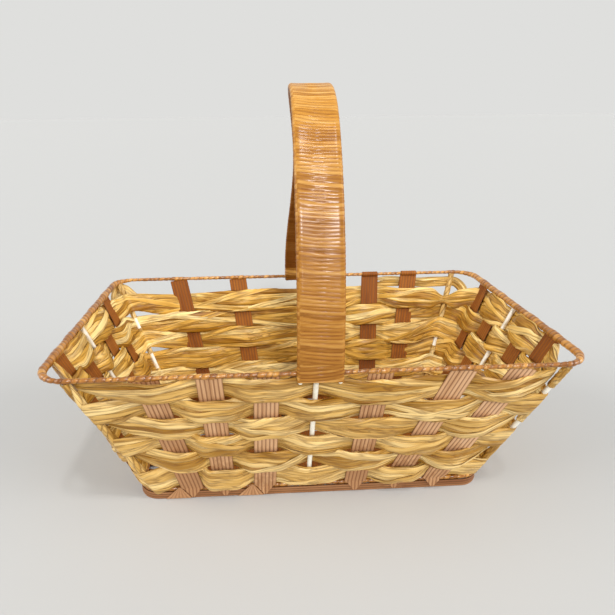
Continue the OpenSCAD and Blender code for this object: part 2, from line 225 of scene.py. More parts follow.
@dataclass(frozen=True)
class StripFinish:
    """Lacquered plant strip, ribbon or strap, with its fibres along the piece.

    The piece's fibre attribute says where a point lies along the strip (x and y, so that a
    closed run can meet itself) and across it (z), in millimetres. Its tone attribute
    shifts each strip's colour, groove paints shade into folds and gaps, and inside picks the
    colours of the face that looks into the basket or down: a copy of the outer colours
    with painted light and shade in them.
    """

    name: str
    shade: str
    body: str
    light: str
    groove: str
    inside_shade: str
    inside_body: str
    inside_light: str
    fibre_width: float
    fibre_length: float
    roughness: float
    coat: float
    bump: float
    groove_strength: float = 0.85
    tone_spread: float = 0.35
    patchiness: float = 0.9
    # Strength of the thin crease lines: painted shade, with a fold bump
    crease_fold_and_shade: float = 0.0
    sheen: float = 0.5
    coat_roughness: float = 0.22

    def build(self) -> bpy.types.Material:
        """Make the material.

        Returns:
            The finished material.
        """
        material, tree, shader = new_material(self.name)
        place = add_node(tree, "ShaderNodeAttribute", {"attribute_name": "fibre"})
        tone = add_node(tree, "ShaderNodeAttribute", {"attribute_name": "tone"})
        groove = add_node(tree, "ShaderNodeAttribute", {"attribute_name": "groove"})
        inside = add_node(tree, "ShaderNodeAttribute", {"attribute_name": "inside"})
        # Each strip reads its own stretch of the pattern
        place = (place.outputs["Vector"], add_node(tree, "ShaderNodeMath", {"operation": "MULTIPLY", 1: 7.0},
                                                   {0: tone.outputs["Fac"]}).outputs[0])
        fibres = self._noise(tree, place, self.fibre_length, self.fibre_width, 5.0)
        patches = self._noise(tree, place, self.fibre_length * 1.4, self.fibre_width * 9, 2.0)
        streak = add_node(tree, "ShaderNodeMath", {"operation": "MULTIPLY_ADD", 1: 0.62, 2: -0.31 + 0.5},
                          {0: fibres.outputs["Fac"]})
        drift = add_node(tree, "ShaderNodeMath", {"operation": "MULTIPLY_ADD", 1: self.patchiness},
                         {0: patches.outputs["Fac"], 2: streak.outputs[0]})
        toned = add_node(tree, "ShaderNodeMath", {"operation": "MULTIPLY_ADD", 1: self.tone_spread},
                         {0: tone.outputs["Fac"], 2: drift.outputs[0]})
        level = add_node(tree, "ShaderNodeMath", {"operation": "SUBTRACT", 1: (self.patchiness + self.tone_spread) / 2},
                         {0: toned.outputs[0]})
        # The inner ramp is the same strip's colours with painted light and shade
        outer = self._ramp(tree, level, self.shade, self.body, self.light)
        inner = self._ramp(tree, level, self.inside_shade, self.inside_body, self.inside_light)
        face = add_node(tree, "ShaderNodeMix", {"data_type": "RGBA"},
                        {0: inside.outputs["Fac"], 6: outer.outputs["Color"], 7: inner.outputs["Color"]})
        # Painted crease shade: thin wandering lines are darkened like the grooves, and a matching bump folds the
        # surface there
        crack = self._crease_lines(tree, place)
        lined = add_node(tree, "ShaderNodeMath", {"operation": "MULTIPLY", 1: self.crease_fold_and_shade}, {0: crack.outputs[0]})
        depth = add_node(tree, "ShaderNodeMath", {"operation": "MULTIPLY", 1: self.groove_strength},
                         {0: groove.outputs["Fac"]})
        depth = add_node(tree, "ShaderNodeMath", {"operation": "MAXIMUM"}, {0: depth.outputs[0], 1: lined.outputs[0]})
        colour = add_node(tree, "ShaderNodeMix", {"data_type": "RGBA", 7: linear_colour(self.groove)},
                          {0: depth.outputs[0], 6: face.outputs[2]})
        folded = add_node(tree, "ShaderNodeBump", {"Distance": 0.35 * MM, "Strength": 1.0, "invert": True},
                          {"Height": lined.outputs[0]})
        bump = add_node(tree, "ShaderNodeBump", {"Distance": self.bump * MM, "Strength": 1.0},
                        {"Height": fibres.outputs["Fac"], "Normal": folded.outputs[0]})
        shader.inputs["Specular IOR Level"].default_value = self.sheen
        shader.inputs["Roughness"].default_value = self.roughness
        shader.inputs["Coat Weight"].default_value = self.coat
        shader.inputs["Coat Roughness"].default_value = self.coat_roughness
        tree.links.new(colour.outputs[2], shader.inputs["Base Color"])
        tree.links.new(bump.outputs[0], shader.inputs["Normal"])
        return material

    @staticmethod
    def _noise(tree: bpy.types.NodeTree, place: tuple, length: float, width: float,
               detail: float) -> bpy.types.Node:
        """Add noise drawn out along the strip: length by width in millimetres."""
        scaled = add_node(tree, "ShaderNodeMapping", {"Scale": (1 / length, 1 / length, 1 / width)},
                          {"Vector": place[0]})
        return add_node(tree, "ShaderNodeTexNoise",
                        {"noise_dimensions": "4D", "Scale": 1.0, "Detail": detail, "Roughness": 0.6},
                        {"Vector": scaled.outputs[0], "W": place[1]})

    def _crease_lines(self, tree: bpy.types.NodeTree, place: tuple) -> bpy.types.Node:
        """Add thin wandering lines along the strip, 1 in the line and 0 beside it."""
        folds = self._noise(tree, place, self.fibre_length * 1.6, self.fibre_width * 4, 2.0)
        away = add_node(tree, "ShaderNodeMath", {"operation": "SUBTRACT", 1: 0.5}, {0: folds.outputs["Fac"]})
        off = add_node(tree, "ShaderNodeMath", {"operation": "ABSOLUTE"}, {0: away.outputs[0]})
        return add_node(tree, "ShaderNodeMath", {"operation": "MULTIPLY_ADD", 1: -15.0, 2: 1.0, "use_clamp": True},
                        {0: off.outputs[0]})

    @staticmethod
    def _ramp(tree: bpy.types.NodeTree, level: bpy.types.Node, shade: str, body: str,
              light: str) -> bpy.types.Node:
        """Add a ramp from shade through body to light."""
        ramp = add_node(tree, "ShaderNodeValToRGB", {}, {"Fac": level.outputs[0]})
        stops = ramp.color_ramp.elements
        stops[0].position, stops[0].color = 0.22, linear_colour(shade)
        stops[1].position, stops[1].color = 0.86, linear_colour(light)
        middle = stops.new(0.52)
        middle.color = linear_colour(body)
        return ramp


@dataclass(frozen=True)
class CoatedWireFinish:
    """Steel wire in a smooth cream plastic coat, a little soiled."""

    name: str
    body: str
    soiled: str
    roughness: float
    mark_size: float

    def build(self) -> bpy.types.Material:
        """Make the material."""
        material, tree, shader = new_material(self.name)
        place = add_node(tree, "ShaderNodeTexCoord", {})
        marks = add_node(tree, "ShaderNodeTexNoise", {"Scale": 1 / (self.mark_size * MM), "Detail": 3.0},
                         {"Vector": place.outputs["Object"]})
        ramp = add_node(tree, "ShaderNodeValToRGB", {}, {"Fac": marks.outputs["Fac"]})
        ramp.color_ramp.elements[0].position = 0.3
        ramp.color_ramp.elements[0].color = linear_colour(self.soiled)
        ramp.color_ramp.elements[1].position = 0.55
        ramp.color_ramp.elements[1].color = linear_colour(self.body)
        bump = add_node(tree, "ShaderNodeBump", {"Distance": 0.02 * MM}, {"Height": marks.outputs["Fac"]})
        shader.inputs["Roughness"].default_value = self.roughness
        tree.links.new(ramp.outputs["Color"], shader.inputs["Base Color"])
        tree.links.new(bump.outputs[0], shader.inputs["Normal"])
        return material


@dataclass
class Sweep:
    """A skin swept along a run: one ring of points for each step.

    Attributes:
        rings: Steps by points around by three, in millimetres.
        along: Distance along the run of each step, and of the meeting place of a closed run.
        across: Distance round the ring of each point, and of its closing point.
        closed: Whether the last ring meets the first.
        tone: Colour shift, 0 to 1, steps by points around.
        groove: Painted shade in folds and gaps, 0 to 1, steps by points around.
        inside: 1 where the skin looks into the basket, steps by points around; it picks
            the inner colours, with their painted light and shade.
        wound: Whether the strip's fibres run round the ring and not along the run.
    """

    rings: np.ndarray
    along: np.ndarray
    across: np.ndarray
    closed: bool
    tone: np.ndarray
    groove: np.ndarray
    inside: np.ndarray
    wound: bool = False

    def build(self, name: str) -> bpy.types.Object:
        """Shape a grid primitive to the rings and weld it closed.

        Args:
            name: The new object's name.

        Returns:
            The object, with its attributes.
        """
        steps, around = self.rings.shape[:2]
        rows = np.arange(steps + 1) % steps if self.closed else np.arange(steps)
        pick = np.ix_(rows, np.arange(around + 1) % around)
        bpy.ops.object.select_all(action="DESELECT")
        bpy.ops.mesh.primitive_grid_add(x_subdivisions=around, y_subdivisions=len(rows) - 1, calc_uvs=False)
        piece = bpy.context.object
        mesh = piece.data
        piece.name = mesh.name = name
        mesh.vertices.foreach_set("co", (self.rings[pick] * MM).ravel())
        for label, values in (("tone", self.tone), ("groove", self.groove), ("inside", self.inside)):
            spread = np.broadcast_to(values, (steps, around))[pick].astype(np.float32)
            mesh.attributes.new(label, "FLOAT", "POINT").data.foreach_set("value", spread.ravel())
        corner = np.empty(len(mesh.loops), int)
        mesh.loops.foreach_get("vertex_index", corner)
        along, across = self.along[corner // (around + 1)], self.across[corner % (around + 1)]
        if self.wound:
            fibre = [across, np.zeros(len(along)), along]
        elif self.closed:
            radius = self.along[-1] / FULL_TURN
            fibre = [radius * np.cos(along / radius), radius * np.sin(along / radius), across]
        else:
            fibre = [along, np.zeros(len(along)), across]
        values = np.stack(fibre, axis=1).astype(np.float32)
        mesh.attributes.new("fibre", "FLOAT_VECTOR", "CORNER").data.foreach_set("vector", values.ravel())
        self._close(mesh, len(rows), around)
        return piece

    def _close(self, mesh: bpy.types.Mesh, rows: int, around: int) -> None:
        """Weld the seams, cap the ends of an open run, and turn the faces outwards."""
        skin = bmesh.new()
        skin.from_mesh(mesh)
        skin.verts.ensure_lookup_table()
        if not self.closed:
            for first in (0, (rows - 1) * (around + 1)):
                for j in range(around // 2 - 1):
                    corners = (j, j + 1, around - 2 - j, around - 1 - j)
                    skin.faces.new([skin.verts[first + k] for k in corners])
        bmesh.ops.remove_doubles(skin, verts=skin.verts, dist=0.0005 * MM)
        bmesh.ops.recalc_face_normals(skin, faces=skin.faces)
        skin.to_mesh(mesh)
        skin.free()


def join_pieces(name: str, pieces: list[bpy.types.Object]) -> bpy.types.Object:
    """Join objects into one.

    Args:
        name: The joined object's name.
        pieces: The objects to join.

    Returns:
        The joined object.
    """
    bpy.ops.object.select_all(action="DESELECT")
    for piece in pieces:
        piece.select_set(True)
    bpy.context.view_layer.objects.active = pieces[0]
    bpy.ops.object.join()
    joined = bpy.context.object
    joined.name = joined.data.name = name
    return joined


def dress(piece: bpy.types.Object, material: bpy.types.Material, nodes: list[str],
          crease: float = 50.0) -> None:
    """Finish a new piece and fit it to the frame.

    Args:
        piece: The new piece.
        material: Its finish.
        nodes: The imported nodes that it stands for.
        crease: Angle in degrees above which an edge stays sharp.
    """
    piece.data.materials.clear()
    piece.data.materials.append(material)
    bpy.ops.object.select_all(action="DESELECT")
    piece.select_set(True)
    bpy.context.view_layer.objects.active = piece
    bpy.ops.object.shade_smooth_by_angle(angle=math.radians(crease))
    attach(piece, "root")
    if nodes:
        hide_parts(*nodes)
    LOG.info("%s: %d faces, stands for %s", piece.name, len(piece.data.polygons), ", ".join(nodes) or "nothing")


@dataclass
class RoundedLoop:
    """A level rounded rectangle, run anticlockwise from the middle of its front side."""

    half_length: float
    half_width: float
    corner_r: float
    height: float

    def sample(self, steps: int) -> tuple[np.ndarray, np.ndarray, np.ndarray]:
        """Sample the loop evenly.

        Args:
            steps: Number of samples.

        Returns:
            The points, the level outward directions, and the distance along, which has one
            value more for the end.
        """
        long_run = 2 * (self.half_length - self.corner_r)
        short_run = 2 * (self.half_width - self.corner_r)
        bend = self.corner_r * math.pi / 2
        stretches = [long_run / 2, bend, short_run, bend, long_run, bend, short_run, bend, long_run / 2]
        ends = np.concatenate([[0], np.cumsum(stretches)])
        along = np.linspace(0, ends[-1], steps + 1)
        points, outs = np.zeros((steps, 3)), np.zeros((steps, 3))
        cx, cy = self.half_length - self.corner_r, self.half_width - self.corner_r
        corners = [(cx, -cy), (cx, cy), (-cx, cy), (-cx, -cy)]
        starts = [(0, -self.half_width), (self.half_length, -cy), (cx, self.half_width),
                  (-self.half_length, cy), (-cx, -self.half_width)]
        for i, distance in enumerate(along[:-1]):
            k = min(int(np.searchsorted(ends, distance, side="right")) - 1, 8)
            wall, past = (k + 1) // 2, distance - ends[k]
            angle = math.pi / 2 * (wall - 1)
            if k % 2:
                angle = math.pi / 2 * ((k - 1) // 2 - 1) + past / self.corner_r
                centre = corners[(k - 1) // 2]
                xy = (centre[0] + self.corner_r * math.cos(angle), centre[1] + self.corner_r * math.sin(angle))
            else:
                start = starts[k // 2]
                xy = (start[0] - past * math.sin(angle), start[1] + past * math.cos(angle))
            points[i] = (*xy, self.height)
            outs[i] = (math.cos(angle), math.sin(angle), 0)
        return points, outs, along

    @classmethod
    def of_wire(cls, node: str) -> tuple[RoundedLoop, float]:
        """Measure a closed wire of the frame.

        Args:
            node: The wire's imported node.

        Returns:
            The loop over the wire's middle, and the wire's radius.
        """
        low, high = node_box(node)
        wire_r = (high[2] - low[2]) / 2
        points = node_points(node)
        straight = points[points[:, 1] < low[1] + 0.01]
        half_length = high[0] - wire_r
        return cls(half_length, high[1] - wire_r, half_length - straight[:, 0].max(), (low[2] + high[2]) / 2), wire_r


@dataclass
class WoundRing:
    """Strip wound turn beside turn round a closed wire of the frame."""

    wire_node: str
    winding_node: str
    pitch: float = 4.9
    ridge: float = 0.42
    unevenness: float = 0.22
    side_gain: float = 0.0
    front_gain: float = 0.0
    steps_per_turn: int = 8
    around: int = 18
    seed: int = 11
    swell: list[tuple[np.ndarray, float]] = field(default_factory=list)

    def build(self, material: bpy.types.Material) -> bpy.types.Object:
        """Make the winding and dress it.

        Args:
            material: The strip's finish.

        Returns:
            The winding.
        """
        rng = np.random.default_rng(self.seed)
        loop, wire_r = RoundedLoop.of_wire(self.wire_node)
        low, high = node_box(self.winding_node)
        skin_r = (high[2] - low[2]) / 2
        length = loop.sample(8)[2][-1]
        turns = round(length / self.pitch)
        steps = turns * self.steps_per_turn
        points, outs, along = loop.sample(steps)
        phase = turns * along[:-1] / length + self.unevenness * wander(rng, steps, turns)[:, 0]
        angle = np.arange(self.around) / self.around * FULL_TURN
        spiral = phase[:, None] - angle[None, :] / FULL_TURN
        share = spiral - np.floor(spiral)
        crown = np.sin(math.pi * share) ** 0.55
        turn = np.floor(spiral).astype(int) % turns
        lift = rng.uniform(-0.12, 0.12, turns)[turn]
        radius = skin_r - 0.16 + lift + self.ridge * (crown - 0.62)
        for place, reach in self.swell:
            away = np.linalg.norm(points[:, :2] - place[:2], axis=1)
            radius = radius + 0.35 * smoothstep((reach - away) / 3)[:, None]
        facing = outs[:, :1] ** 2
        radius = radius + self.side_gain * facing + self.front_gain * (1 - facing)
        radius = np.maximum(radius, wire_r + 0.05)
        rings = points[:, None, :] + radius[..., None] * (
            np.cos(angle)[None, :, None] * outs[:, None, :] + np.sin(angle)[None, :, None] * np.array([0, 0, 1]))
        across = np.arange(self.around + 1) / self.around * FULL_TURN * skin_r
        # The inner side takes the lighter inner colours as painted light; the gaps between turns get painted shade
        inward = (np.cos(angle) < -0.2).astype(float)[None, :]
        sweep = Sweep(rings, along, across, True, rng.uniform(0, 1, turns)[turn], (1 - crown) ** 1.6, inward, True)
        piece = sweep.build(self.winding_node + "_turns")
        dress(piece, material, [self.winding_node], crease=70)
        return piece


@dataclass
class FlutedStrap:
    """The cross-section of a fluted strap: rounded ribs on both faces."""

    width: float
    thickness: float
    ribs: int = 6
    points_per_rib: int = 4
    rib_depth: float = 0.3

    def section(self) -> tuple[np.ndarray, np.ndarray, np.ndarray, np.ndarray]:
        """Work out the section's ring.

        Returns:
            Sideways places, offsets outwards, how deep each point lies in a groove, and 1
            on the inner face. The outer face comes first, then the inner face backwards.
        """
        count = self.ribs * self.points_per_rib + 1
        side = np.linspace(-self.width / 2, self.width / 2, count)
        rib = np.abs(np.sin(math.pi * np.arange(count) / self.points_per_rib)) ** 0.7
        offset = self.thickness / 2 - self.rib_depth * (1 - rib)
        sides = np.concatenate([side, side[::-1]])
        offsets = np.concatenate([offset, -offset[::-1]])
        # Painted shade: darkest in the grooves and at the strap's edges
        grooves = np.concatenate([1 - rib, 1 - rib[::-1]]) ** 1.5
        grooves[[0, count - 1, count, -1]] = 1
        inner = np.concatenate([np.zeros(count), np.ones(count)])
        return sides, offsets, grooves, inner

    def around(self) -> np.ndarray:
        """Work out the distance round the ring of each point and the closing point."""
        count = self.ribs * self.points_per_rib + 1
        step = self.width / (count - 1)
        return np.arange(2 * count + 1) * step


@dataclass
class WallElement:
    """A stake or a post that the rows cross, read from the frame."""

    node: str
    kind: Crossed
    low: np.ndarray
    high: np.ndarray
    out: np.ndarray

    def at_height(self, height: float) -> np.ndarray:
        """Find the point of the element's middle line at a height."""
        return self.low + (self.high - self.low) * (height - self.low[2]) / (self.high[2] - self.low[2])


@dataclass
class WallFrame:
    """The stakes and posts of all four walls, in order round the basket."""

    stake_counts: tuple[int, int, int, int] = (6, 4, 5, 4)
    stakes_before_post: tuple[int, int, int, int] = (3, 2, 3, 2)
    elements: list[WallElement] = field(default_factory=list)

    def read(self) -> WallFrame:
        """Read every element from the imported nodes, from the front wall's left end round."""
        for wall in WallSide:
            out = np.round([math.cos(math.pi / 2 * (wall.value - 1)), math.sin(math.pi / 2 * (wall.value - 1)), 0])
            word = wall.name.lower()
            for index in range(1, self.stake_counts[wall.value] + 1):
                self.elements.append(self._stake(f"{word}_stake_{index}", out))
                if index == self.stakes_before_post[wall.value]:
                    self.elements.append(self._post(f"middle_post_{word}", Crossed.POST, out))
            turned = np.array([out[0] - out[1], out[1] + out[0], 0]) / math.sqrt(2)
            self.elements.append(self._post(f"corner_post_{wall.value + 1}", Crossed.CORNER, turned))
        return self

    @staticmethod
    def _stake(node: str, out: np.ndarray) -> WallElement:
        """Read a stake: its middle line from the knee to the middle of the rim wire."""
        points = node_points(node)
        knee = node_box("base_winding")[1][2]
        rim = RoundedLoop.of_wire("rim_wire")[0]
        tip = points[points[:, 2] < points[:, 2].min() + 0.01].mean(axis=0)
        top = points[points[:, 2] > rim.height - 6].mean(axis=0)
        half = rim.half_width if abs(out[1]) > 0.5 else rim.half_length
        high = top * (1 - np.abs(out)) + out * half
        high[2] = rim.height
        low = np.array([tip[0], tip[1], knee])
        return WallElement(node, Crossed.STRAP, low, high, out)

    @staticmethod
    def _post(node: str, kind: Crossed, out: np.ndarray) -> WallElement:
        """Read a post: its middle line from end to end."""
        points = node_points(node)
        middle = points[:, 2].mean()
        middle = (points[:, 2].min() + points[:, 2].max()) / 2
        low = points[points[:, 2] < middle].mean(axis=0)
        high = points[points[:, 2] > middle].mean(axis=0)
        return WallElement(node, kind, low, high, out)


@dataclass
class StakeSet:
    """The fluted strap stakes of all walls."""

    walls: WallFrame
    strap: FlutedStrap
    foot_point: float = 11.0
    foot_tip: float = 0.6
    steps: int = 30
    foot_steps: int = 8
    # Painted shade towards the floor: the height it starts at, and how much it darkens
    brown_below: float = 60.0
    floor_shade_tone: float = 1.0
    loop_nodes: tuple[str, ...] = ("back_stake_1", "back_stake_2", "left_stake_1")
    loop_lift: float = 0.4
    flap_nodes: tuple[str, ...] = ("front_stake_1", "front_stake_3", "right_stake_2",
                                   "back_stake_2", "back_stake_5", "left_stake_3")

    def build(self, material: bpy.types.Material) -> None:
        """Make and dress every stake."""
        for number, element in enumerate(e for e in self.walls.elements if e.kind is Crossed.STRAP):
            pieces = [self._strap(element, number)]
            if element.node in self.flap_nodes:
                pieces.append(self._flap(element, number))
            if element.node in self.loop_nodes:
                pieces.append(self._loop(element, number))
            piece = join_pieces(element.node + "_fluted", pieces)
            dress(piece, material, [element.node], crease=60)

    def _strap(self, element: WallElement, number: int) -> bpy.types.Object:
        """Make one stake's strap: up the wall, and down over the edge band to a point."""
        sides, offsets, grooves, inner = self.strap.section()
        run = np.array([-element.out[1], element.out[0], 0])
        rim_half = self.strap.thickness
        top_z = element.high[2] - rim_half
        heights = np.linspace(element.low[2], top_z, self.steps)[::-1]
        rings, along = [], []
        lean = unit(element.high - element.low)
        normal = unit(element.out - lean * (element.out @ lean))
        flat = unit(np.cross(lean, normal)) * -1
        flat = flat if flat @ run > 0 else -flat
        for z in heights:
            middle = element.at_height(z)
            blend = smoothstep(np.array((z - element.low[2]) / 8))
            facing = unit(normal * blend + element.out * (1 - blend))
            across = unit(flat * blend + run * (1 - blend))
            rings.append(middle + sides[:, None] * across + offsets[:, None] * facing)
            along.append(top_z - z)
        # The foot: every line of the strap ends where the point is cut
        end_z = self.foot_tip + self.foot_point * (np.abs(sides) / (self.strap.width / 2)) ** 1.05
        start = element.low[2]
        for share in np.linspace(0, 1, self.foot_steps + 1)[1:]:
            z = start + (end_z - start) * share
            ring = element.low + sides[:, None] * run + offsets[:, None] * element.out
            ring[:, 2] = z
            rings.append(ring)
            along.append(top_z - start + share * (start - self.foot_tip))
        steps = len(rings)
        # Painted shade: the lower end is darker and browner, where less light reaches near the floor
        sunk = smoothstep((self.brown_below - np.array(rings)[..., 2]) / self.brown_below)
        tone = (number * 0.37) % 1.0 - self.floor_shade_tone * sunk
        groove = np.broadcast_to(grooves, (steps, len(sides)))
        return Sweep(np.array(rings), np.array(along), self.strap.around(), False, tone, groove,
                     np.broadcast_to(inner, (steps, len(sides)))).build(element.node + "_strap")

    def _loop(self, element: WallElement, number: int) -> bpy.types.Object:
        """Make the strap's upper end, folded round the rim's winding."""
        sides, offsets, grooves, inner = self.strap.section()
        run = np.array([-element.out[1], element.out[0], 0])
        low, high = node_box("rim_winding")
        radius = (high[2] - low[2]) / 2 + self.loop_lift
        middle = np.array([element.high[0], element.high[1], element.high[2]])
        steps = 22
        angle = np.arange(steps) / steps * FULL_TURN
        facing = np.cos(angle)[:, None] * element.out + np.sin(angle)[:, None] * np.array([0, 0, 1])
        rings = (middle + sides[None, :, None] * 0.9 * run
                 + (radius + 0.6 * offsets)[None, :, None] * facing[:, None, :])
        along = np.arange(steps + 1) / steps * FULL_TURN * radius
        shape = (steps, len(sides))
        return Sweep(rings, along, self.strap.around(), True, np.array((number * 0.37) % 1.0),
                     np.broadcast_to(grooves, shape), np.ones(shape)).build(element.node + "_loop")

    def _flap(self, element: WallElement, number: int) -> bpy.types.Object:
        """Make the folded flap beside a foot: a fan of flutes from a point down to the floor."""
        sides, offsets, grooves, inner = self.strap.section()
        run = np.array([-element.out[1], element.out[0], 0])
        apex_x, apex_z = -self.strap.width * 0.5 - 1.2, 11.2
        left_x, right_x, foot_z = -self.strap.width * 1.25, -1.2, 0.5
        share_across = (sides + self.strap.width / 2) / self.strap.width
        rings, along = [], []
        for share in np.linspace(0.08, 1, 10):
            bottom_x = left_x + (right_x - left_x) * share_across
            x = apex_x + (bottom_x - apex_x) * share
            z = apex_z + (foot_z - apex_z) * share
            middle = np.array([element.low[0], element.low[1], 0])
            ring = middle + x[:, None] * run + (offsets * (0.35 + 0.35 * share) - 0.12)[:, None] * element.out
            ring[:, 2] = z
            rings.append(ring)
            along.append(share * 14)
        steps = len(rings)
        # Painted shade: the flap, down at the floor, is darker still
        tone = (number * 0.37) % 1.0 - 1.1 * self.floor_shade_tone
        return Sweep(np.array(rings), np.array(along), self.strap.around(), False, np.array(tone),
                     np.broadcast_to(0.6 * grooves, (steps, len(sides))),
                     np.broadcast_to(inner, (steps, len(sides)))).build(element.node + "_flap")


@dataclass
class RowCrossing:
    """A place where a row crosses a stake or a post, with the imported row's height there."""

    element: WallElement
    centre: np.ndarray
    side: float
    up: np.ndarray
    height: float
    corner_step: int = 0


class BundleOutline:
    """The rounded flat outline of a bundle, run round by distance from its upper edge.

    Rise and depth go from -1 to 1: depth 1 is the outer face and -1 the inner face.
    """

    def __init__(self, height: float, thickness: float, squareness: float) -> None:
        """Lay out the outline for a typical height and thickness in millimetres."""
        angle = np.linspace(0, FULL_TURN, 721)
        power = 2 / squareness
        self.rise = np.sign(np.cos(angle)) * np.abs(np.cos(angle)) ** power
        self.depth = np.sign(np.sin(angle)) * np.abs(np.sin(angle)) ** power
        steps = np.hypot(np.diff(self.rise) * height / 2, np.diff(self.depth) * thickness / 2)
        self.around = np.concatenate([[0], np.cumsum(steps)])
        self.length = float(self.around[-1])
        self.around /= self.length
        steep = squareness - 1
        lean = np.stack([np.sign(self.rise) * np.abs(self.rise) ** steep / height,
                         np.sign(self.depth) * np.abs(self.depth) ** steep / thickness], axis=1)
        self.lean = unit(lean)

    def at(self, place: np.ndarray) -> tuple[np.ndarray, np.ndarray, np.ndarray, np.ndarray]:
        """Find points of the outline.

        Args:
            place: Shares of the way round; whole turns don't count.

        Returns:
            Rise, depth, and the outward direction's share of rise and of depth.
        """
        place = place % 1.0
        return tuple(np.interp(place, self.around, values)
                     for values in (self.rise, self.depth, self.lean[:, 0], self.lean[:, 1]))


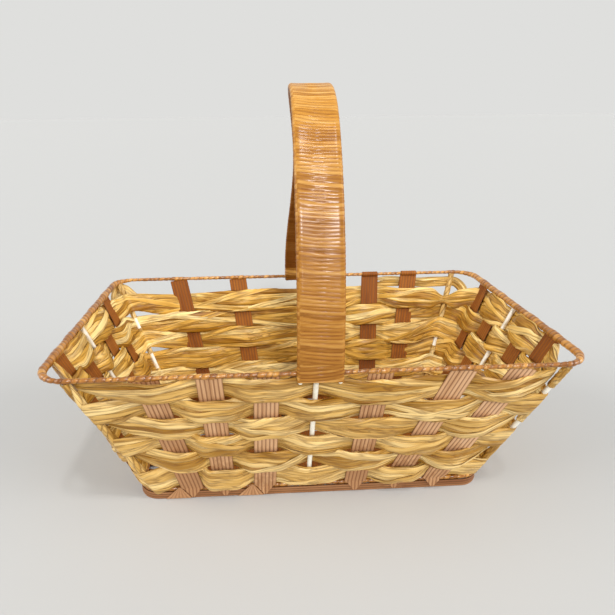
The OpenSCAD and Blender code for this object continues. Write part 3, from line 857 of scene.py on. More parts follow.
@dataclass
class WeaverRows:
    """The six rows of weavers, each a bundle of long folded leaf ribbons pressed flat.

    The ribbons lie side by side round the bundle and roll slowly as they run, and a few
    more wind over them. The bundle swells where it lies free and narrows where it is held.
    """

    walls: WallFrame
    ribbons: int = 9
    ribbon_shares: tuple[float, ...] = (0.0, 0.05, 0.27, 0.5, 0.73, 0.95)
    steps: int = 780
    roll: float = 0.13
    squareness: float = 2.9
    level: float = 0.4
    tilt: float = 0.95
    crown: float = 0.16
    fold: float = 0.26
    crease: float = 0.4
    winders: tuple[int, ...] = (-5, -4, 3)
    winder_width: float = 4.6
    winder_lift: float = 0.3
    winder_shares: tuple[float, ...] = (0.0, 0.08, 0.3, 0.5, 0.7, 0.92, 1.0)
    ring_reach: float = 1.0
    corner_reach: float = 5.5
    seed: int = 5

    def build(self, material: bpy.types.Material) -> None:
        """Make and dress every row."""
        outline = BundleOutline(18.5, 4.0, self.squareness)
        for node in nodes_like("weaver_row_"):
            rng = np.random.default_rng(self.seed + int(node[-1]))
            line = BundleLine(self._crossings(node), self.steps)
            piece = self._bundle(node + "_ribbons", line, outline, rng)
            dress(piece, material, [node], crease=38)

    def _crossings(self, node: str) -> list[RowCrossing]:
        """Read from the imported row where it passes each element, and on which side."""
        points = node_points(node)
        found = []
        for element in self.walls.elements:
            reach = self.corner_reach if element.kind is Crossed.CORNER else self.ring_reach
            level = element.at_height(points[:, 2].mean())
            run = np.array([-element.out[1], element.out[0], 0])
            for _ in range(4):
                offset = points - level
                beside = np.where(np.abs(offset @ element.out) < 9, offset @ run, np.inf)
                nearest = beside[np.argmin(np.abs(beside))] if element.kind is not Crossed.CORNER else 0.0
                near = np.abs(beside - nearest) < reach
                level = element.at_height(points[near, 2].mean())
            outwards = float(((points[near] - level) @ element.out).mean())
            climb = element.high - element.low
            if element.kind is Crossed.STRAP:
                climb = climb - run * (climb @ run)
            up = unit(climb)
            found.append(RowCrossing(element, level + element.out * outwards, math.copysign(1.0, outwards), up,
                                     float(np.ptp(points[near] @ up))))
        for index, crossing in enumerate(found):
            for step in (-1, 1):
                if found[(index + step) % len(found)].element.kind is Crossed.CORNER:
                    crossing.corner_step = step
        return found

    def _bundle(self, name: str, line: BundleLine, outline: BundleOutline,
                rng: np.random.Generator) -> bpy.types.Object:
        """Sweep one row's bundle.

        Args:
            name: The bundle's name.
            line: The row's middle line.
            outline: The bundle's outline.
            rng: Seeded source of random numbers.

        Returns:
            The bundle.
        """
        share = np.array(self.ribbon_shares)
        drift = self.roll * wander(rng, self.steps, 15)
        edges = np.arange(self.ribbons) / self.ribbons + drift
        edges = edges + 0.36 / self.ribbons * wander(rng, self.steps, 30, self.ribbons)
        following = np.concatenate([edges[:, 1:], edges[:, :1] + 1], axis=1)
        place = edges[..., None] * (1 - share) + following[..., None] * share
        level = self.level * wander(rng, self.steps, 40, self.ribbons)
        tilt = self.tilt * wander(rng, self.steps, 28, self.ribbons)
        crease = smoothstep(0.6 + 0.8 * wander(rng, self.steps, 38, self.ribbons))
        relief = (level[..., None] + tilt[..., None] * (share - 0.5)
                  + self.crown * (1 - (2 * share - 1) ** 2)
                  + self.fold * wander(rng, self.steps, 60, place[0].size).reshape(place.shape))
        lower = np.minimum(level - tilt / 2, np.roll(level + tilt / 2, 1, axis=1))
        relief[..., 0] = lower - 0.06 - self.crease * crease
        # Painted shade: dark creases between the ribbons, and darker sunken parts
        dark = np.zeros(place.shape)
        dark[..., 0] = 0.3 + 0.7 * crease
        dark[..., 1:] = np.clip(-relief[..., 1:] * 0.7, 0, 0.5)
        place, relief, dark = (values.reshape(self.steps, -1) for values in (place, relief, dark))
        tone = rng.uniform(0, 1, self.ribbons) + 0.16 * wander(rng, self.steps, 22, self.ribbons)
        pieces = [self._skin(name, line, outline, place, relief, dark, np.repeat(tone, len(share), axis=1))]
        for number, turns in enumerate(self.winders):
            pieces.append(self._winder(f"{name}_{number}", line, outline, place, relief, turns, rng))
        return join_pieces(name, pieces)

    def _winder(self, name: str, line: BundleLine, outline: BundleOutline, place: np.ndarray,
                relief: np.ndarray, turns: int, rng: np.random.Generator) -> bpy.types.Object:
        """Wind one more ribbon over a bundle.

        Args:
            name: The ribbon's name.
            line: The row's middle line.
            outline: The bundle's outline.
            place: Where the bundle's own points lie round it, steps by points.
            relief: How far each of them stands out.
            turns: Whole turns that the ribbon makes round the bundle, with their direction.
            rng: Seeded source of random numbers.

        Returns:
            The ribbon.
        """
        share = np.array(self.winder_shares)
        run = np.arange(self.steps) / self.steps
        middle = rng.uniform() + turns * run + 0.14 * wander(rng, self.steps, 11)[:, 0]
        width = (self.winder_width + 1.2 * wander(rng, self.steps, 26)[:, 0]) / outline.length
        spots = middle[:, None] + (share - 0.5) * width[:, None]
        under = np.array([np.interp(spots[k] % 1, place[k] % 1, relief[k], period=1) for k in range(self.steps)]).max(axis=1)
        under = np.max([np.roll(under, k) for k in range(-3, 4)], axis=0)
        under = np.mean([np.roll(under, k) for k in range(-4, 5)], axis=0)
        tilt = 0.4 * wander(rng, self.steps, 30)
        top = under[:, None] + self.winder_lift + tilt * (share - 0.5) + 0.16 * wander(
            rng, self.steps, 60, len(share)) + 0.18 * (1 - (2 * share - 1) ** 2)
        bottom = np.broadcast_to(under[:, None] - 0.5, (self.steps, 2))
        top[:, [0, -1]] -= 0.12
        spots = np.concatenate([spots, spots[:, [-2, 1]]], axis=1)
        # Painted shade at the ribbon's edges, and full shade on its underside
        dark = np.zeros(spots.shape)
        dark[:, [0, len(share) - 1]] = 0.75
        dark[:, len(share):] = 1
        tone = np.full(spots.shape, rng.uniform(0.35, 1.1))
        return self._skin(name, line, outline, spots, np.concatenate([top, bottom], axis=1), dark, tone)

    @staticmethod
    def _skin(name: str, line: BundleLine, outline: BundleOutline, place: np.ndarray, relief: np.ndarray,
              dark: np.ndarray, tone: np.ndarray) -> bpy.types.Object:
        """Sweep a skin whose points stand out from the bundle's outline.

        Args:
            name: The skin's name.
            line: The row's middle line.
            outline: The bundle's outline.
            place: Where the points lie round the outline, steps by points.
            relief: How far each stands out.
            dark: Painted shade in creases and gaps.
            tone: Colour shift of each ribbon.

        Returns:
            The skin.
        """
        rise, depth, lean_rise, lean_depth = outline.at(place)
        outer = np.clip(0.5 + 0.7 * depth, 0, 1)
        height = line.inner_height[:, None] * (1 - outer) + line.outer_height[:, None] * outer
        thick = line.inner_depth[:, None] * (1 - outer) + line.outer_depth[:, None] * outer
        relief = relief * np.clip((thick - 1.0) / 0.9, 0.25, 1)
        up = rise * height / 2 + lean_rise * relief
        out = depth * thick + lean_depth * relief
        rings = (line.points[:, None, :] + out[..., None] * line.normals[:, None, :]
                 + up[..., None] * line.ups[:, None, :])
        # Painted shade along the bundle's upper and lower edges, heavier on the lower edge
        shade = smoothstep((0.6 - np.abs(depth)) / 0.6) * np.where(rise < 0, 0.75, 0.35)
        # The inner face takes the inner colours, with their painted light
        inside = np.clip(0.5 - 1.4 * depth, 0, 1)
        across = np.arange(place.shape[1] + 1) / place.shape[1] * np.ptp(place[0]) * outline.length
        return Sweep(rings, line.along, across, True, tone, np.clip(dark + shade, 0, 1), inside).build(name)


class BundleLine:
    """The middle line of a row, with its directions, heights and thicknesses."""

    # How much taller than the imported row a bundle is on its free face, and how much less
    # tall on the face that is held, by what it crosses
    SPREAD = {Crossed.STRAP: 4.6, Crossed.POST: 1.8, Crossed.CORNER: 4.6}
    PINCH = {Crossed.STRAP: 0.9, Crossed.POST: 0.0, Crossed.CORNER: -1.0}
    BETWEEN = 2.5
    FREE_DEPTH, HELD_DEPTH, BETWEEN_DEPTH = 2.15, 1.3, 1.95
    BULGE = 0.7
    CORNER_REACH = 2.1
    CORNER_DEPTH = 0.8
    CORNER_TURNS = (-30, 0, 30)
    # Where a row draws together beside an opening: its crossing's node, the side it passes
    # on or 0 for both, the lowest height, how much narrower it is and how far it rides up
    OPENINGS = (("corner_post_4", -1, 0.0, 6.5, 3.6), ("corner_post_2", 0, 95.0, 10.0, -9.5))
    # The bottom row hangs down over the edge band at one corner
    HANG_AT, HANG_BELOW, HANG_DROP, HANG_TALLER, HANG_OUT = "corner_post_4", 30.0, 3.0, 4.0, 0.8
    # The top row stands fuller and higher on the short walls
    TOP_ABOVE, TOP_FULLER, TOP_LIFT = 90.0, 3.0, 1.3

    def __init__(self, crossings: list[RowCrossing], steps: int) -> None:
        """Lay the line through the crossings.

        Args:
            crossings: Where the row passes each element, in order.
            steps: Number of samples.
        """
        keys, outs, ups, sizes = [], [], [], []
        for index, crossing in enumerate(crossings):
            following = crossings[(index + 1) % len(crossings)]
            for point, out in self._key_points(crossing):
                keys.append(point)
                outs.append(out)
                ups.append(crossing.up)
                sizes.append(self._sizes_at(crossing))
            there, out_there = self._key_points(following)[0]
            keys.append((keys[-1] + there) / 2)
            outs.append(unit(outs[-1] + out_there))
            ups.append(unit(crossing.up + following.up))
            height = (crossing.height + following.height) / 2 + self.BETWEEN
            sizes.append([height, height, self.BETWEEN_DEPTH, self.BETWEEN_DEPTH])
        self.points, place = smooth_run(np.array(keys), steps, True)
        count = len(keys)
        low = np.floor(place).astype(int) % count
        mix = smoothstep(place - np.floor(place))[:, None]

        def between(values: list) -> np.ndarray:
            """Blend the keys' values along the line."""
            array = np.array(values, float).reshape(count, -1)
            return array[low] * (1 - mix) + array[(low + 1) % count] * mix

        self.outer_height, self.inner_height, self.outer_depth, self.inner_depth = between(sizes).T
        tangent = unit(np.roll(self.points, -1, axis=0) - np.roll(self.points, 1, axis=0))
        self.ups = unit(between(ups))
        self.normals = unit(np.cross(tangent, self.ups))
        gaps = np.linalg.norm(np.roll(self.points, -1, axis=0) - self.points, axis=1)
        self.along = np.concatenate([[0], np.cumsum(gaps)])

    def _sizes_at(self, crossing: RowCrossing) -> list[float]:
        """List the outer and inner height and the outer and inner depth at a crossing."""
        kind = crossing.element.kind
        heights = [crossing.height + self.SPREAD[kind], crossing.height - self.PINCH[kind]]
        depths = [self.FREE_DEPTH, self.HELD_DEPTH]
        narrower = self._opening(crossing)[0]
        if narrower:
            heights = [crossing.height - narrower] * 2
        if self._tops(crossing):
            heights = [height + self.TOP_FULLER for height in heights]
        if self._hangs(crossing):
            heights = [height + self.HANG_TALLER for height in heights]
        if kind is Crossed.CORNER:
            depths = [self.CORNER_DEPTH, self.CORNER_DEPTH]
        return heights + depths if crossing.side > 0 else heights[::-1] + depths[::-1]

    def _key_points(self, crossing: RowCrossing) -> list[tuple[np.ndarray, np.ndarray]]:
        """List the points of the line that a crossing fixes, each with its outward direction."""
        element = crossing.element
        out = element.out
        run = np.array([-out[1], out[0], 0])
        if element.kind is not Crossed.CORNER:
            hold = element.kind.value
            bulge = crossing.side * self.BULGE * out
            keys = []
            for step in (-1, 0, 1):
                # Next to a corner the row is pulled in, towards the corner post
                pulled = step == crossing.corner_step and crossing.side > 0
                reach = hold * step * (0.6 if pulled else 1.0)
                keys.append((crossing.centre + run * reach + bulge * (1 - abs(step)) - out * (0.9 * pulled)
                             + crossing.up * (self.TOP_LIFT * self._tops(crossing)), out))
            return keys
        lift = self._opening(crossing)[1]
        if crossing.side < 0:
            return [(crossing.centre + crossing.up * lift, out)]
        hangs = self._hangs(crossing)
        axis = element.at_height(crossing.centre[2] + lift - self.HANG_DROP * hangs)
        turned = []
        for degrees in self.CORNER_TURNS:
            direction = np.array(Matrix.Rotation(math.radians(degrees), 3, "Z")) @ out
            turned.append((axis + direction * (self.CORNER_REACH + self.HANG_OUT * hangs), direction))
        return turned

    def _opening(self, crossing: RowCrossing) -> tuple[float, float]:
        """Find how much narrower a row is at a crossing, and how far it rides up there."""
        for node, side, lowest, narrower, lift in self.OPENINGS:
            if crossing.element.node == node and side in (0, crossing.side) and crossing.centre[2] > lowest:
                return narrower, lift
        return 0.0, 0.0

    def _hangs(self, crossing: RowCrossing) -> bool:
        """Tell whether this is the bottom row at the corner where it hangs down."""
        return crossing.element.node == self.HANG_AT and crossing.centre[2] < self.HANG_BELOW

    def _tops(self, crossing: RowCrossing) -> bool:
        """Tell whether this is the top row on a short wall."""
        return (crossing.centre[2] > self.TOP_ABOVE and abs(crossing.element.out[0]) > 0.9
                and crossing.element.kind is not Crossed.CORNER)


@dataclass
class PostWrap:
    """Leaf ribbons wound steeply round the corner posts, with a few bare lengths left.

    Attributes:
        walls: The frame's stakes and posts.
        covered: For each corner from the front right one round, the covered stretches, as
            shares of the way up the post.
    """

    walls: WallFrame
    covered: tuple[tuple[tuple[float, float], ...], ...] = (
        ((0.06, 0.46), (0.54, 0.78), (0.84, 1.0)), ((0.0, 0.38), (0.5, 1.0)),
        ((0.0, 0.27), (0.4, 0.62), (0.71, 1.0)), ((0.0, 1.0),))
    pitch: float = 30.0
    strands: int = 3
    lift: float = 0.65
    ridge: float = 0.75
    around: int = 18
    seed: int = 61

    def build(self, material: bpy.types.Material) -> None:
        """Make and dress the wrap of every corner post."""
        rng = np.random.default_rng(self.seed)
        corners = [element for element in self.walls.elements if element.kind is Crossed.CORNER]
        for element, stretches in zip(corners, self.covered):
            pieces = [self._stretch(element, *stretch, rng) for stretch in stretches]
            dress(join_pieces(element.node + "_wrap", pieces), material, [], crease=60)

    def _stretch(self, element: WallElement, start: float, end: float,
                 rng: np.random.Generator) -> bpy.types.Object:
        """Wind one stretch of a post."""
        length = float(np.linalg.norm(element.high - element.low)) * (end - start)
        steps = max(int(length / 1.2), 6)
        along = np.linspace(0, length, steps)
        axis = unit(element.high - element.low)
        side = unit(np.cross(axis, element.out))
        front = np.cross(side, axis)
        angle = np.arange(self.around) / self.around * FULL_TURN
        turns = along / self.pitch + 0.25 * wander(rng, steps, 8, closed=False)[:, 0]
        spiral = (turns[:, None] - angle[None, :] / FULL_TURN) * self.strands
        share = spiral - np.floor(spiral)
        crown = np.sin(math.pi * share) ** 0.5
        strand = np.floor(spiral).astype(int) % (self.strands * 7)
        radius = self.post_r(element) + self.lift + self.ridge * crown
        middle = element.low + (element.high - element.low) * start + axis * along[:, None]
        rings = middle[:, None, :] + radius[..., None] * (
            np.cos(angle)[None, :, None] * front + np.sin(angle)[None, :, None] * side)
        across = np.arange(self.around + 1) / self.around * 14.0
        tone = rng.uniform(0.2, 1, self.strands * 7)[strand]
        # Painted shade in the gaps between strands
        return Sweep(rings, along, across, False, tone, (1 - crown) ** 1.4, np.zeros(share.shape)).build(element.node)

    @staticmethod
    def post_r(element: WallElement) -> float:
        """Measure a post's radius."""
        away = np.cross(node_points(element.node) - element.low, unit(element.high - element.low))
        return float(np.linalg.norm(away, axis=1).max())


@dataclass
class LooseRibbons:
    """Ribbons of the top row that run up to the rim at the back corners and down again.

    Attributes:
        walls: The frame's stakes and posts.
        routes: For each post, the share of the widths that its ribbons have, and the places
            that they pass, measured from its top.
    """

    walls: WallFrame
    routes: tuple[tuple[str, float, tuple[tuple[float, float, float], ...]], ...] = (
        ("corner_post_2", 0.92, ((-82, 0.4, -6.4), (-66, 0.5, -6.4), (-44, 0.6, -7), (-28, -0.8, -8),
                                 (-13, -2, -6.8), (-3, -2.2, -6), (4, -2.6, -7), (8.5, -5, -10.5),
                                 (10.5, -9.5, -14), (10.5, -17, -16.5), (10, -28, -18))),
        ("corner_post_3", 1.0, ((24, -0.5, -24), (15, 2, -19), (8, 4, -13), (3, 4.5, -8), (-1, 2, -6),
                                (-3, -3, -9), (-2, -10, -15), (0, -20, -21))))
    widths: tuple[float, ...] = (7.5, 6.0)
    spread: float = 4.2
    thickness: float = 0.9
    fold: float = 0.5
    steps: int = 70
    seed: int = 71

    def build(self, material: bpy.types.Material) -> None:
        """Make and dress the ribbons of both corners."""
        rng = np.random.default_rng(self.seed)
        posts = {element.node: element for element in self.walls.elements}
        for node, share, route in self.routes:
            post = posts[node]
            keys = post.high + np.array(route)
            pieces = [self._ribbon(keys, post.out, width * share, (k - 0.5) * self.spread * share, rng)
                      for k, width in enumerate(self.widths)]
            dress(join_pieces(node + "_loose_ribbons", pieces), material, [], crease=40)

    def _ribbon(self, keys: np.ndarray, out: np.ndarray, width: float, aside: float,
                rng: np.random.Generator) -> bpy.types.Object:
        """Sweep one folded ribbon along its route."""
        points = smooth_run(keys, self.steps, False)[0]
        tangent = unit(np.gradient(points, axis=0))
        flat = unit(np.cross(tangent, out))
        normal = unit(np.cross(flat, tangent))
        share = np.linspace(-0.5, 0.5, 7)
        tapered = width * np.clip(np.minimum(np.arange(self.steps), self.steps - 1 - np.arange(self.steps)) / 9, 0.35, 1)
        place = aside + 0.8 * wander(rng, self.steps, 7, closed=False)[:, 0]
        lift = self.fold * wander(rng, self.steps, 12, len(share), closed=False)
        top = points[:, None, :] + (place[:, None] + share * tapered[:, None])[..., None] * flat[:, None, :]
        faces = [top + (half * self.thickness / 2 + lift)[..., None] * normal[:, None, :] for half in (1, -1)]
        rings = np.concatenate([faces[0], faces[1][:, ::-1]], axis=1)
        gaps = np.linalg.norm(np.diff(points, axis=0), axis=1)
        along = np.concatenate([[0], np.cumsum(gaps)])
        across = np.arange(2 * len(share) + 1) / len(share) * width
        # Painted shade towards the ribbon's edges
        edge = np.concatenate([np.abs(share), np.abs(share[::-1])]) * 2
        groove = np.broadcast_to(0.7 * edge ** 4, rings.shape[:2])
        return Sweep(rings, along, across, False, np.array(rng.uniform(0.4, 1)), groove,
                     np.full(rings.shape[:2], 0.6)).build("loose_ribbon")


@dataclass
class EdgeBand:
    """The fluted band on edge that the basket stands on."""

    ribs: int = 3
    rib_depth: float = 0.22
    steps: int = 420
    seed: int = 23

    def build(self, material: bpy.types.Material) -> None:
        """Make the band and dress it."""
        low, high = node_box("base_edge_band")
        wall = self._wall_thickness(low)
        wire_loop = RoundedLoop.of_wire("base_wire")[0]
        corner = wire_loop.corner_r + (high[0] - wire_loop.half_length)
        loop = RoundedLoop(high[0] - wall / 2, high[1] - wall / 2, corner - wall / 2, 0.0)
        points, outs, along = loop.sample(self.steps)
        count = self.ribs * 4 + 1
        rise = np.linspace(0, high[2], count)
        rib = np.abs(np.sin(math.pi * np.arange(count) / 4)) ** 0.7
        offset = wall / 2 - self.rib_depth * (1 - rib)
        ups = np.concatenate([rise, rise[::-1]])
        sides = np.concatenate([offset, -offset[::-1]])
        rings = points[:, None, :] + sides[None, :, None] * outs[:, None, :] + ups[None, :, None] * np.array([0, 0, 1])
        # Painted shade in the flutes' grooves
        groove = np.concatenate([1 - rib, 1 - rib[::-1]]) ** 1.5
        inner = np.concatenate([np.zeros(count), np.ones(count)])
        around = np.arange(2 * count + 1) * high[2] / (count - 1)
        rng = np.random.default_rng(self.seed)
        tone = 0.5 + 0.4 * wander(rng, self.steps, 18)
        piece = Sweep(rings, along, around, True, tone, groove[None, :], inner[None, :]).build("base_edge_band_fluted")
        dress(piece, material, ["base_edge_band"], crease=60)

    @staticmethod
    def _wall_thickness(low: np.ndarray) -> float:
        """Measure the band's wall at the middle of the front."""
        points = node_points("base_edge_band")
        front = points[(points[:, 1] < 0) & (np.abs(points[:, 1] - low[1]) < 4)]
        return float(np.sort(np.unique(np.round(front[:, 1], 3)))[1:][np.argmax(
            np.diff(np.sort(np.unique(np.round(front[:, 1], 3)))))] - low[1]) if len(front) else 1.6


@dataclass
class FloorWeave:
    """The fluted straps of the floor, woven over and under one another."""

    strap: FlutedStrap
    swing: float = 0.52
    steps: int = 70

    def build(self, material: bpy.types.Material) -> None:
        """Make and dress every floor strap."""
        long_nodes, cross_nodes = nodes_like("base_long_strap_"), nodes_like("base_cross_strap_")
        long_at = [float(np.mean(np.array(node_box(n))[:, 1])) for n in long_nodes]
        cross_at = [float(np.mean(np.array(node_box(n))[:, 0])) for n in cross_nodes]
        middle = (node_box(long_nodes[0])[0][2] + node_box(cross_nodes[0])[1][2]) / 2
        for k, node in enumerate(long_nodes):
            over = [1 if (k + c) % 2 else -1 for c in range(len(cross_at))]
            self._strap(node, 0, long_at[k], cross_at, over, middle, material, k)
        for c, node in enumerate(cross_nodes):
            over = [-1 if (k + c) % 2 else 1 for k in range(len(long_at))]
            self._strap(node, 1, cross_at[c], long_at, over, middle, material, c + 3)

    def _strap(self, node: str, axis: int, place: float, crossed: list[float], over: list[int], middle: float,
               material: bpy.types.Material, number: int) -> None:
        """Make one floor strap.

        Args:
            node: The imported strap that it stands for.
            axis: 0 for a strap along the basket, 1 for one across.
            place: Where it lies on the other axis.
            crossed: Places of the straps that it crosses.
            over: 1 where it passes over, -1 where it passes under.
            middle: Height of the weave's middle.
            material: The strap's finish.
            number: The strap's number, for its tone.
        """
        low, high = node_box(node)
        run = np.linspace(low[axis], high[axis], self.steps)
        at = np.concatenate([[low[axis] - 9], crossed, [high[axis] + 9]])
        signs = np.concatenate([[-over[0]], over, [-over[-1]]])
        index = np.clip(np.searchsorted(at, run) - 1, 0, len(at) - 2)
        share = smoothstep((run - at[index]) / (at[index + 1] - at[index]))
        rise = (signs[index] * (1 - share) + signs[index + 1] * share) * self.swing
        sides, offsets, grooves, inner = self.strap.section()
        rings = np.zeros((self.steps, len(sides), 3))
        rings[..., axis] = run[:, None]
        rings[..., 1 - axis] = place + sides[None, :]
        rings[..., 2] = middle + rise[:, None] - offsets[None, :]
        along = run - run[0]
        shape = (self.steps, len(sides))
        piece = Sweep(rings, along, self.strap.around(), False, np.array((number * 0.29) % 1.0),
                      np.broadcast_to(grooves, shape), np.broadcast_to(inner, shape)).build(node + "_fluted")
        dress(piece, material, [node], crease=60)


@dataclass
class Handle:
    """The wound handle: a flat winding round two wires, and a lashing at each end.

    Its run, turn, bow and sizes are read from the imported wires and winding.
    """

    pitch: float = 2.45
    ridge: float = 0.5
    hollow: float = 0.3
    steps_per_turn: int = 8
    flat_points: int = 13
    round_points: int = 5
    face_advance: float = 0.8
    brown_below: float = 297.0
    brown_over: float = 100.0
    seed: int = 41

    def build(self, material: bpy.types.Material) -> None:
        """Make and dress the winding and both lashings."""
        spring = node_box("handle_lashing_front")[1][2]
        left, right = (self._wire_middles(f"handle_wire_{word}", spring) for word in ("left", "right"))
        self.wires = (left + right) / 2
        self.across = unit((right - left).mean(axis=0))
        self.spread = float(np.linalg.norm(right - left, axis=1).mean())
        skin = node_points("handle_winding")
        foot = skin[skin[:, 2] < spring + 1] @ self.across
        front = foot[np.abs(foot - self.wires[0] @ self.across) < self.spread]
        self.skin_r = float((np.ptp(front) - self.spread) / 2)
        self._winding(material, spring)
        for end, word in ((0, "front"), (-1, "back")):
            self._lashing(end, f"handle_lashing_{word}", material)
        LOG.info("handle: spread %.2f, skin radius %.2f", self.spread, self.skin_r)

    @staticmethod
    def _wire_middles(node: str, spring: float) -> np.ndarray:
        """Find the middles of a wire's rings, from the front foot to the back foot."""
        points = np.unique(np.round(node_points(node), 3), axis=0)
        angle = -np.arctan2(points[:, 2] - spring, points[:, 1])
        order = np.argsort(np.where(angle > math.pi / 2, angle - FULL_TURN, angle))
        points, angle = points[order], np.sort(np.where(angle > math.pi / 2, angle - FULL_TURN, angle))
        rings = np.split(points, np.nonzero(np.diff(angle) > 0.02)[0] + 1)
        return np.array([ring.mean(axis=0) for ring in rings])

    def _flat_profile(self, skin_r: float, hollow: float) -> tuple[np.ndarray, np.ndarray, np.ndarray, np.ndarray]:
        """Work out the ring round both wires.

        Args:
            skin_r: Radius of the skin over a wire.
            hollow: How far the flats sink between the wires.

        Returns:
            Outward offsets, sideways places, distances round, and the share of a turn's
            advance at each point, most of which the strip makes on the outer flat.
        """
        flat = np.linspace(-self.spread / 2, self.spread / 2, self.flat_points)
        sink = hollow * (1 - (2 * flat / self.spread) ** 2)
        bend = np.linspace(math.pi / 2, -math.pi / 2, self.round_points + 2)[1:-1]
        outs = np.concatenate([skin_r - sink, skin_r * np.sin(bend), -(skin_r - sink), -skin_r * np.sin(bend)])
        sides = np.concatenate([flat, self.spread / 2 + skin_r * np.cos(bend), flat[::-1],
                                -self.spread / 2 - skin_r * np.cos(bend)])
        ring = np.stack([outs, sides], axis=1)
        steps = np.linalg.norm(np.roll(ring, -1, axis=0) - ring, axis=1)
        ends = [0, self.flat_points - 1, self.flat_points + self.round_points,
                2 * self.flat_points + self.round_points - 1, len(outs)]
        shares = [0, self.face_advance, self.face_advance + 0.05, 0.95, 1]
        return outs, sides, np.concatenate([[0], np.cumsum(steps)]), np.interp(np.arange(len(outs)), ends, shares)

    def _turns(self, phase: np.ndarray, advance: np.ndarray, rng: np.random.Generator,
               ) -> tuple[np.ndarray, np.ndarray, np.ndarray]:
        """Work out the ridges of the turns.

        Args:
            phase: Number of turns done at each step and point of the ring.
            advance: Share of a turn at each point of the ring.
            rng: Seeded source of random numbers.

        Returns:
            The lift of the skin, the painted shade in the gaps and the tone of each turn.
        """
        spiral = phase + advance[None, :]
        share = spiral - np.floor(spiral)
        turn = np.floor(spiral).astype(int)
        turn -= turn.min()
        count = turn.max() + 1
        crown = np.sin(math.pi * share) ** 0.6
        tilt = rng.uniform(-0.3, 0.3, count)[turn] * (share - 0.5)
        lift = self.ridge * (crown - 0.75) + tilt + rng.uniform(-0.14, 0.1, count)[turn]
        gap = (1 - np.sin(math.pi * share) ** 0.4) * rng.uniform(0.4, 1.5, count)[turn]
        return lift, np.clip(gap, 0, 1), rng.uniform(0, 1, count)[turn]

    def _winding(self, material: bpy.types.Material, spring: float) -> None:
        """Make the winding over the arch."""
        rng = np.random.default_rng(self.seed)
        arch = self.wires[self.wires[:, 2] > spring - 0.5]
        length = float(np.linalg.norm(np.diff(arch, axis=0), axis=1).sum())
        turns = round(length / self.pitch)
        steps = turns * self.steps_per_turn
        points = smooth_run(arch, steps, False)[0]
        tangent = unit(np.gradient(points, axis=0))
        outward = unit(np.cross(self.across, tangent))
        outs, sides, around, advance = self._flat_profile(self.skin_r - 0.1, self.hollow)
        along = np.linspace(0, length, steps)
        # Each turn slopes and sags a little differently
        slope = 0.5 * wander(rng, steps, turns // 4, closed=False) * (sides / self.spread)[None, :]
        sag = 0.5 * np.abs(wander(rng, steps, turns // 6, closed=False)) * (2 * sides / self.spread)[None, :] ** 2
        uneven = 0.32 * wander(rng, steps, turns // 2, closed=False)
        phase = along[:, None] / length * turns + uneven + slope - sag * np.sign(0.5 - along / length)[:, None]
        lift, gap, tone = self._turns(phase, advance, rng)
        over_wire = np.clip((np.abs(sides) - self.spread / 2 + 0.6) / 1.2, 0, 1)[None, :]
        lift, gap = lift * (1 - 0.55 * over_wire), gap * (1 - 0.6 * over_wire)
        # Painted shade where the strip bends round the wires, and underneath
        edge = 0.5 * np.clip((np.abs(sides) - self.spread / 2) / self.skin_r - 0.25, 0, 1)
        gap = np.maximum(gap, np.maximum(edge, 0.55 * (outs < 0))[None, :])
        swell = unit(np.stack([outs, sides], axis=1))
        offset = outs[None, :] + lift * swell[None, :, 0]
        side = sides[None, :] + lift * swell[None, :, 1]
        rings = points[:, None, :] + offset[..., None] * outward[:, None, :] + side[..., None] * self.across
        # The strip takes the darker, browner inner colours towards the feet; on the side that looks down they are
        # painted shade
        brown = 0.85 * smoothstep((self.brown_below - points[:, 2]) / self.brown_over)
        inner = np.maximum((outs < 0).astype(float)[None, :], brown[:, None])
        piece = Sweep(rings, along, around, False, tone, gap, inner, True).build("handle_winding_turns")
        dress(piece, material, ["handle_winding"], crease=75)

    def _lashing(self, end: int, node: str, material: bpy.types.Material) -> None:
        """Make the lashing that ties the handle to the rim at one end.

        Args:
            end: 0 for the front foot, -1 for the back foot.
            node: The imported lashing.
            material: The strip's finish.
        """
        rng = np.random.default_rng(self.seed + 3 + end)
        rim = RoundedLoop.of_wire("rim_wire")[0]
        rim_skin = node_box("rim_winding")[1][2] - rim.height
        foot = self.wires[end]
        outward = np.cross(self.across, [0, 0, 1]) * (1 if end == 0 else -1)
        low, high = node_box(node)
        turns = round((high[2] - low[2]) / self.pitch)
        steps = turns * self.steps_per_turn + 1
        z = np.linspace(high[2], low[2], steps)
        outs, sides, around, advance = self._flat_profile(self.skin_r - 0.1, self.hollow * 0.4)
        phase = np.broadcast_to(np.linspace(0, turns, steps)[:, None], (steps, len(outs)))
        lift, gap, tone = self._turns(phase + 0.45 * (2 * sides / self.spread) ** 2, advance, rng)
        ring = unit(np.stack([outs, sides], axis=1))
        # The inner side reaches back over the rim where the rim passes through
        below = np.clip(1 - np.abs(z - rim.height) / (rim_skin + 4.5), 0, 1)
        reach = (abs(foot[1]) - rim.half_width + rim_skin + 0.9 - self.skin_r) * smoothstep(below * 1.8)
        offset = outs[None, :] + lift * ring[None, :, 0]
        offset = np.where(outs[None, :] < 0, offset - reach[:, None], offset)
        side = (sides[None, :] + lift * ring[None, :, 1]) * (1 if end == 0 else -1)
        rings = offset[..., None] * outward + side[..., None] * self.across
        rings[..., :2] += foot[:2]
        rings[..., 2] = z[:, None]
        inner = np.full(tone.shape, 0.85)
        piece = Sweep(rings, high[2] - z, around, False, tone, gap, inner, True).build(node + "_turns")
        dress(piece, material, [node], crease=75)


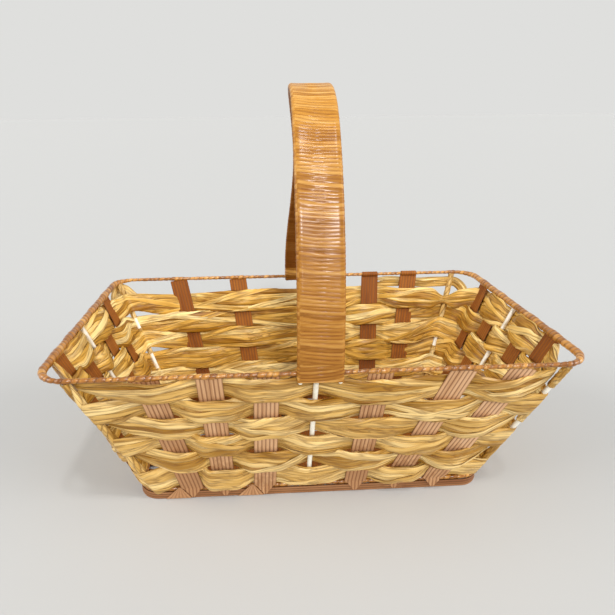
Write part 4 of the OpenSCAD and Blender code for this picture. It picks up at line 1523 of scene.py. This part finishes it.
@dataclass
class Studio:
    """The plain pale floor, the soft lights and the camera at the photograph's view."""

    camera_at: tuple[float, float, float] = (-34.95, -375.9, 272.3)
    yaw: float = 0.0497
    pitch: float = 0.3697
    roll: float = -0.0098
    focal_px: float = 503.14
    frame_px: float = 615.0
    middle_px: float = 285.0
    sensor: float = 36.0
    floor_colour: str = "#BABAB8"
    backdrop_colour: str = "#DFDFDD"

    def build(self) -> None:
        """Make the floor, lights and camera."""
        self._camera()
        self._floor()
        self._world()
        self._sun("key_light", (0.05, -1.0, 0.72), 1.35, 6.0)
        self._sun("low_light", (0.05, -1.0, 0.2), 0.25, 8.0)
        self._sun("top_light", (0.15, -0.35, 1.0), 0.6, 5.0)
        self._sun("fill_light", (0.95, -0.3, 0.45), 1.7, 40.0)
        self._sun("side_light", (-0.95, -0.1, 0.5), 1.5, 40.0)
        bpy.context.scene.view_settings.view_transform = "Standard"

    def _camera(self) -> None:
        """Place the camera as the photograph's was."""
        level = math.cos(self.pitch)
        forward = np.array([math.sin(self.yaw) * level, math.cos(self.yaw) * level, -math.sin(self.pitch)])
        right = np.array([math.cos(self.yaw), -math.sin(self.yaw), 0])
        up = np.cross(right, forward)
        turned_right = math.cos(self.roll) * right + math.sin(self.roll) * up
        turned_up = -math.sin(self.roll) * right + math.cos(self.roll) * up
        data = bpy.data.cameras.new("camera")
        data.sensor_width = self.sensor
        data.lens = self.focal_px / self.frame_px * self.sensor
        data.shift_x = (self.frame_px / 2 - self.middle_px) / self.frame_px
        data.clip_start, data.clip_end = 0.01, 100
        camera = bpy.data.objects.new("camera", data)
        turn = Matrix((turned_right, turned_up, -forward)).transposed()
        camera.matrix_world = Matrix.Translation(Vector(self.camera_at) * MM) @ turn.to_4x4()
        bpy.context.scene.collection.objects.link(camera)
        bpy.context.scene.camera = camera

    def _floor(self) -> None:
        """Lay the floor."""
        bpy.ops.object.select_all(action="DESELECT")
        bpy.ops.mesh.primitive_plane_add(size=80.0, location=(0, 0, 0))
        floor = bpy.context.object
        floor.name = "floor"
        material, tree, shader = new_material("pale_painted_floor")
        shader.inputs["Base Color"].default_value = linear_colour(self.floor_colour)
        shader.inputs["Roughness"].default_value = 0.9
        floor.data.materials.append(material)

    def _world(self) -> None:
        """Light the room softly, and show the backdrop colour to the camera."""
        world = bpy.data.worlds.new("studio")
        bpy.context.scene.world = world
        world.use_nodes = True
        tree = world.node_tree
        tree.nodes.clear()
        path = add_node(tree, "ShaderNodeLightPath", {})
        room = add_node(tree, "ShaderNodeBackground", {"Color": (1.0, 1.0, 1.0, 1.0), "Strength": 0.55})
        seen = add_node(tree, "ShaderNodeBackground", {"Color": linear_colour(self.backdrop_colour), "Strength": 1.0})
        mirrored = add_node(tree, "ShaderNodeMath", {"operation": "MAXIMUM"},
                            {0: path.outputs["Is Glossy Ray"], 1: path.outputs["Is Transmission Ray"]})
        shown = add_node(tree, "ShaderNodeMath", {"operation": "MAXIMUM"},
                         {0: path.outputs["Is Camera Ray"], 1: mirrored.outputs[0]})
        mixed = add_node(tree, "ShaderNodeMixShader", {}, {0: shown.outputs[0],
                                                           1: room.outputs[0], 2: seen.outputs[0]})
        add_node(tree, "ShaderNodeOutputWorld", {}, {"Surface": mixed.outputs[0]})

    @staticmethod
    def _sun(name: str, toward: tuple[float, float, float], strength: float, spread: float) -> None:
        """Add a soft light that falls alike everywhere.

        Args:
            name: The lamp's name.
            toward: Direction from the basket to the lamp.
            strength: Its strength, in watts a square metre.
            spread: Angle across the lamp in degrees: the wider, the softer the shadows.
        """
        data = bpy.data.lights.new(name, "SUN")
        data.energy, data.angle = strength, math.radians(spread)
        lamp = bpy.data.objects.new(name, data)
        lamp.rotation_euler = Vector(toward).to_track_quat("Z", "Y").to_euler()
        bpy.context.scene.collection.objects.link(lamp)


# Maize leaf, dyed straw gold and lacquered: long folded ribbons with painted shade along their creases and hollows,
# which leaves the crowns pale; the brighter, warmer inner colours are painted light
LEAF_RIBBON = StripFinish("lacquered_leaf_ribbon", "#A5741F", "#DAAE5E", "#F6D590", "#5E2E00",
                          "#A06C14", "#E3B04C", "#FFE39A", 0.55, 30.0, 0.45, 0.08, 0.12,
                          tone_spread=0.55, crease_fold_and_shade=0.55, sheen=0.35)
# Fluted strap of pressed wood fibre: matt and pinkish brown; the darker orange-brown inner colours are painted shade
# and warm bounce light on the inside
FLUTED_STRAP = StripFinish("pressed_fibre_strap", "#B4845A", "#D6A87C", "#E2BA94", "#744626",
                           "#80440A", "#9A5814", "#AE6C22", 0.5, 30.0, 0.6, 0.0, 0.05, sheen=0.25)
# Narrow strip wound on the frame: lacquered golden copper, with painted shade in the gaps so each turn's crown stands
# bright, and lighter inner colours as painted light
RIM_STRIP = StripFinish("lacquered_rim_strip", "#784410", "#A46820", "#DCA450", "#442004",
                        "#8C5418", "#BE8038", "#E4AC5C", 0.6, 12.0, 0.28, 0.5, 0.05, sheen=0.35)
# The base's band: the same fibre as the straps, a little redder
EDGE_STRAP = StripFinish("pressed_fibre_band", "#7E4C2A", "#9C6A42", "#B8885C", "#50300F",
                         "#7C4008", "#985612", "#AE6C22", 0.6, 34.0, 0.55, 0.05, 0.05, sheen=0.3)
# Amber strip on the handle under thick varnish: glossy, each turn a little different; its darker inner colours are
# painted shade on the side that looks down, and also brown the feet
HANDLE_STRIP = StripFinish("varnished_handle_strip", "#9C6216", "#CA8E38", "#EEC072", "#6E340C",
                           "#7E4E18", "#A26C28", "#C4924A", 1.0, 12.0, 0.38, 0.34, 0.12,
                           groove_strength=1.0, tone_spread=0.35, patchiness=0.3, sheen=0.05, coat_roughness=0.2)
# Steel wire dipped in cream plastic: smooth, soft highlights
COATED_WIRE = CoatedWireFinish("cream_coated_wire", "#F4EFE0", "#DDD2BA", 0.35, 9.0)


@dataclass
class CoatedPost:
    """The thick coat on a wall post, from the base to the rim."""

    element: WallElement
    coat_r: float = 1.75
    around: int = 20
    steps: int = 24

    def build(self, material: bpy.types.Material) -> None:
        """Make the coated post and dress it."""
        axis = unit(self.element.high - self.element.low)
        side = unit(np.cross(axis, self.element.out))
        front = np.cross(side, axis)
        angle = np.arange(self.around) / self.around * FULL_TURN
        share = np.linspace(0, 1, self.steps)[:, None]
        middle = self.element.low + (self.element.high - self.element.low) * share
        spokes = np.cos(angle)[:, None] * front + np.sin(angle)[:, None] * side
        rings = middle[:, None, :] + self.coat_r * spokes[None, :, :]
        blank = np.zeros((self.steps, self.around))
        along = share[:, 0] * float(np.linalg.norm(self.element.high - self.element.low))
        piece = Sweep(rings, along, np.arange(self.around + 1) * 0.5, False, blank, blank, blank).build(
            self.element.node + "_coated")
        dress(piece, material, [self.element.node])


def dress_wires(material: bpy.types.Material) -> None:
    """Give every bare wire of the frame its coat."""
    for node in nodes_like("handle_wire_") + ["rim_wire", "base_wire"]:
        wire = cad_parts[node]
        wire.data.materials.clear()
        wire.data.materials.append(material)
        LOG.info("%s: coated", node)


def main() -> None:
    """Build the basket's looks and the studio."""
    logging.basicConfig(level=logging.INFO, format="%(name)s: %(message)s")
    walls = WallFrame().read()
    strap = FlutedStrap(16.5, 1.0)
    rim_strip = RIM_STRIP.build()
    leaf = LEAF_RIBBON.build()
    fibre = FLUTED_STRAP.build()
    coat = COATED_WIRE.build()
    dress_wires(coat)
    for element in walls.elements:
        if element.kind is not Crossed.STRAP:
            CoatedPost(element).build(coat)
    swell = [(e.high, 5.0 if e.kind is Crossed.CORNER else 7.5) for e in walls.elements if e.kind is not Crossed.POST]
    WoundRing("rim_wire", "rim_winding", side_gain=1.0, front_gain=-0.2, swell=swell).build(rim_strip)
    WoundRing("base_wire", "base_winding", seed=12).build(rim_strip)
    EdgeBand().build(EDGE_STRAP.build())
    FloorWeave(FlutedStrap(16.5, 0.9)).build(fibre)
    StakeSet(walls, strap).build(fibre)
    WeaverRows(walls).build(leaf)
    PostWrap(walls).build(leaf)
    LooseRibbons(walls).build(leaf)
    Handle().build(HANDLE_STRIP.build())
    Studio().build()


if __name__ == "__main__":
    main()
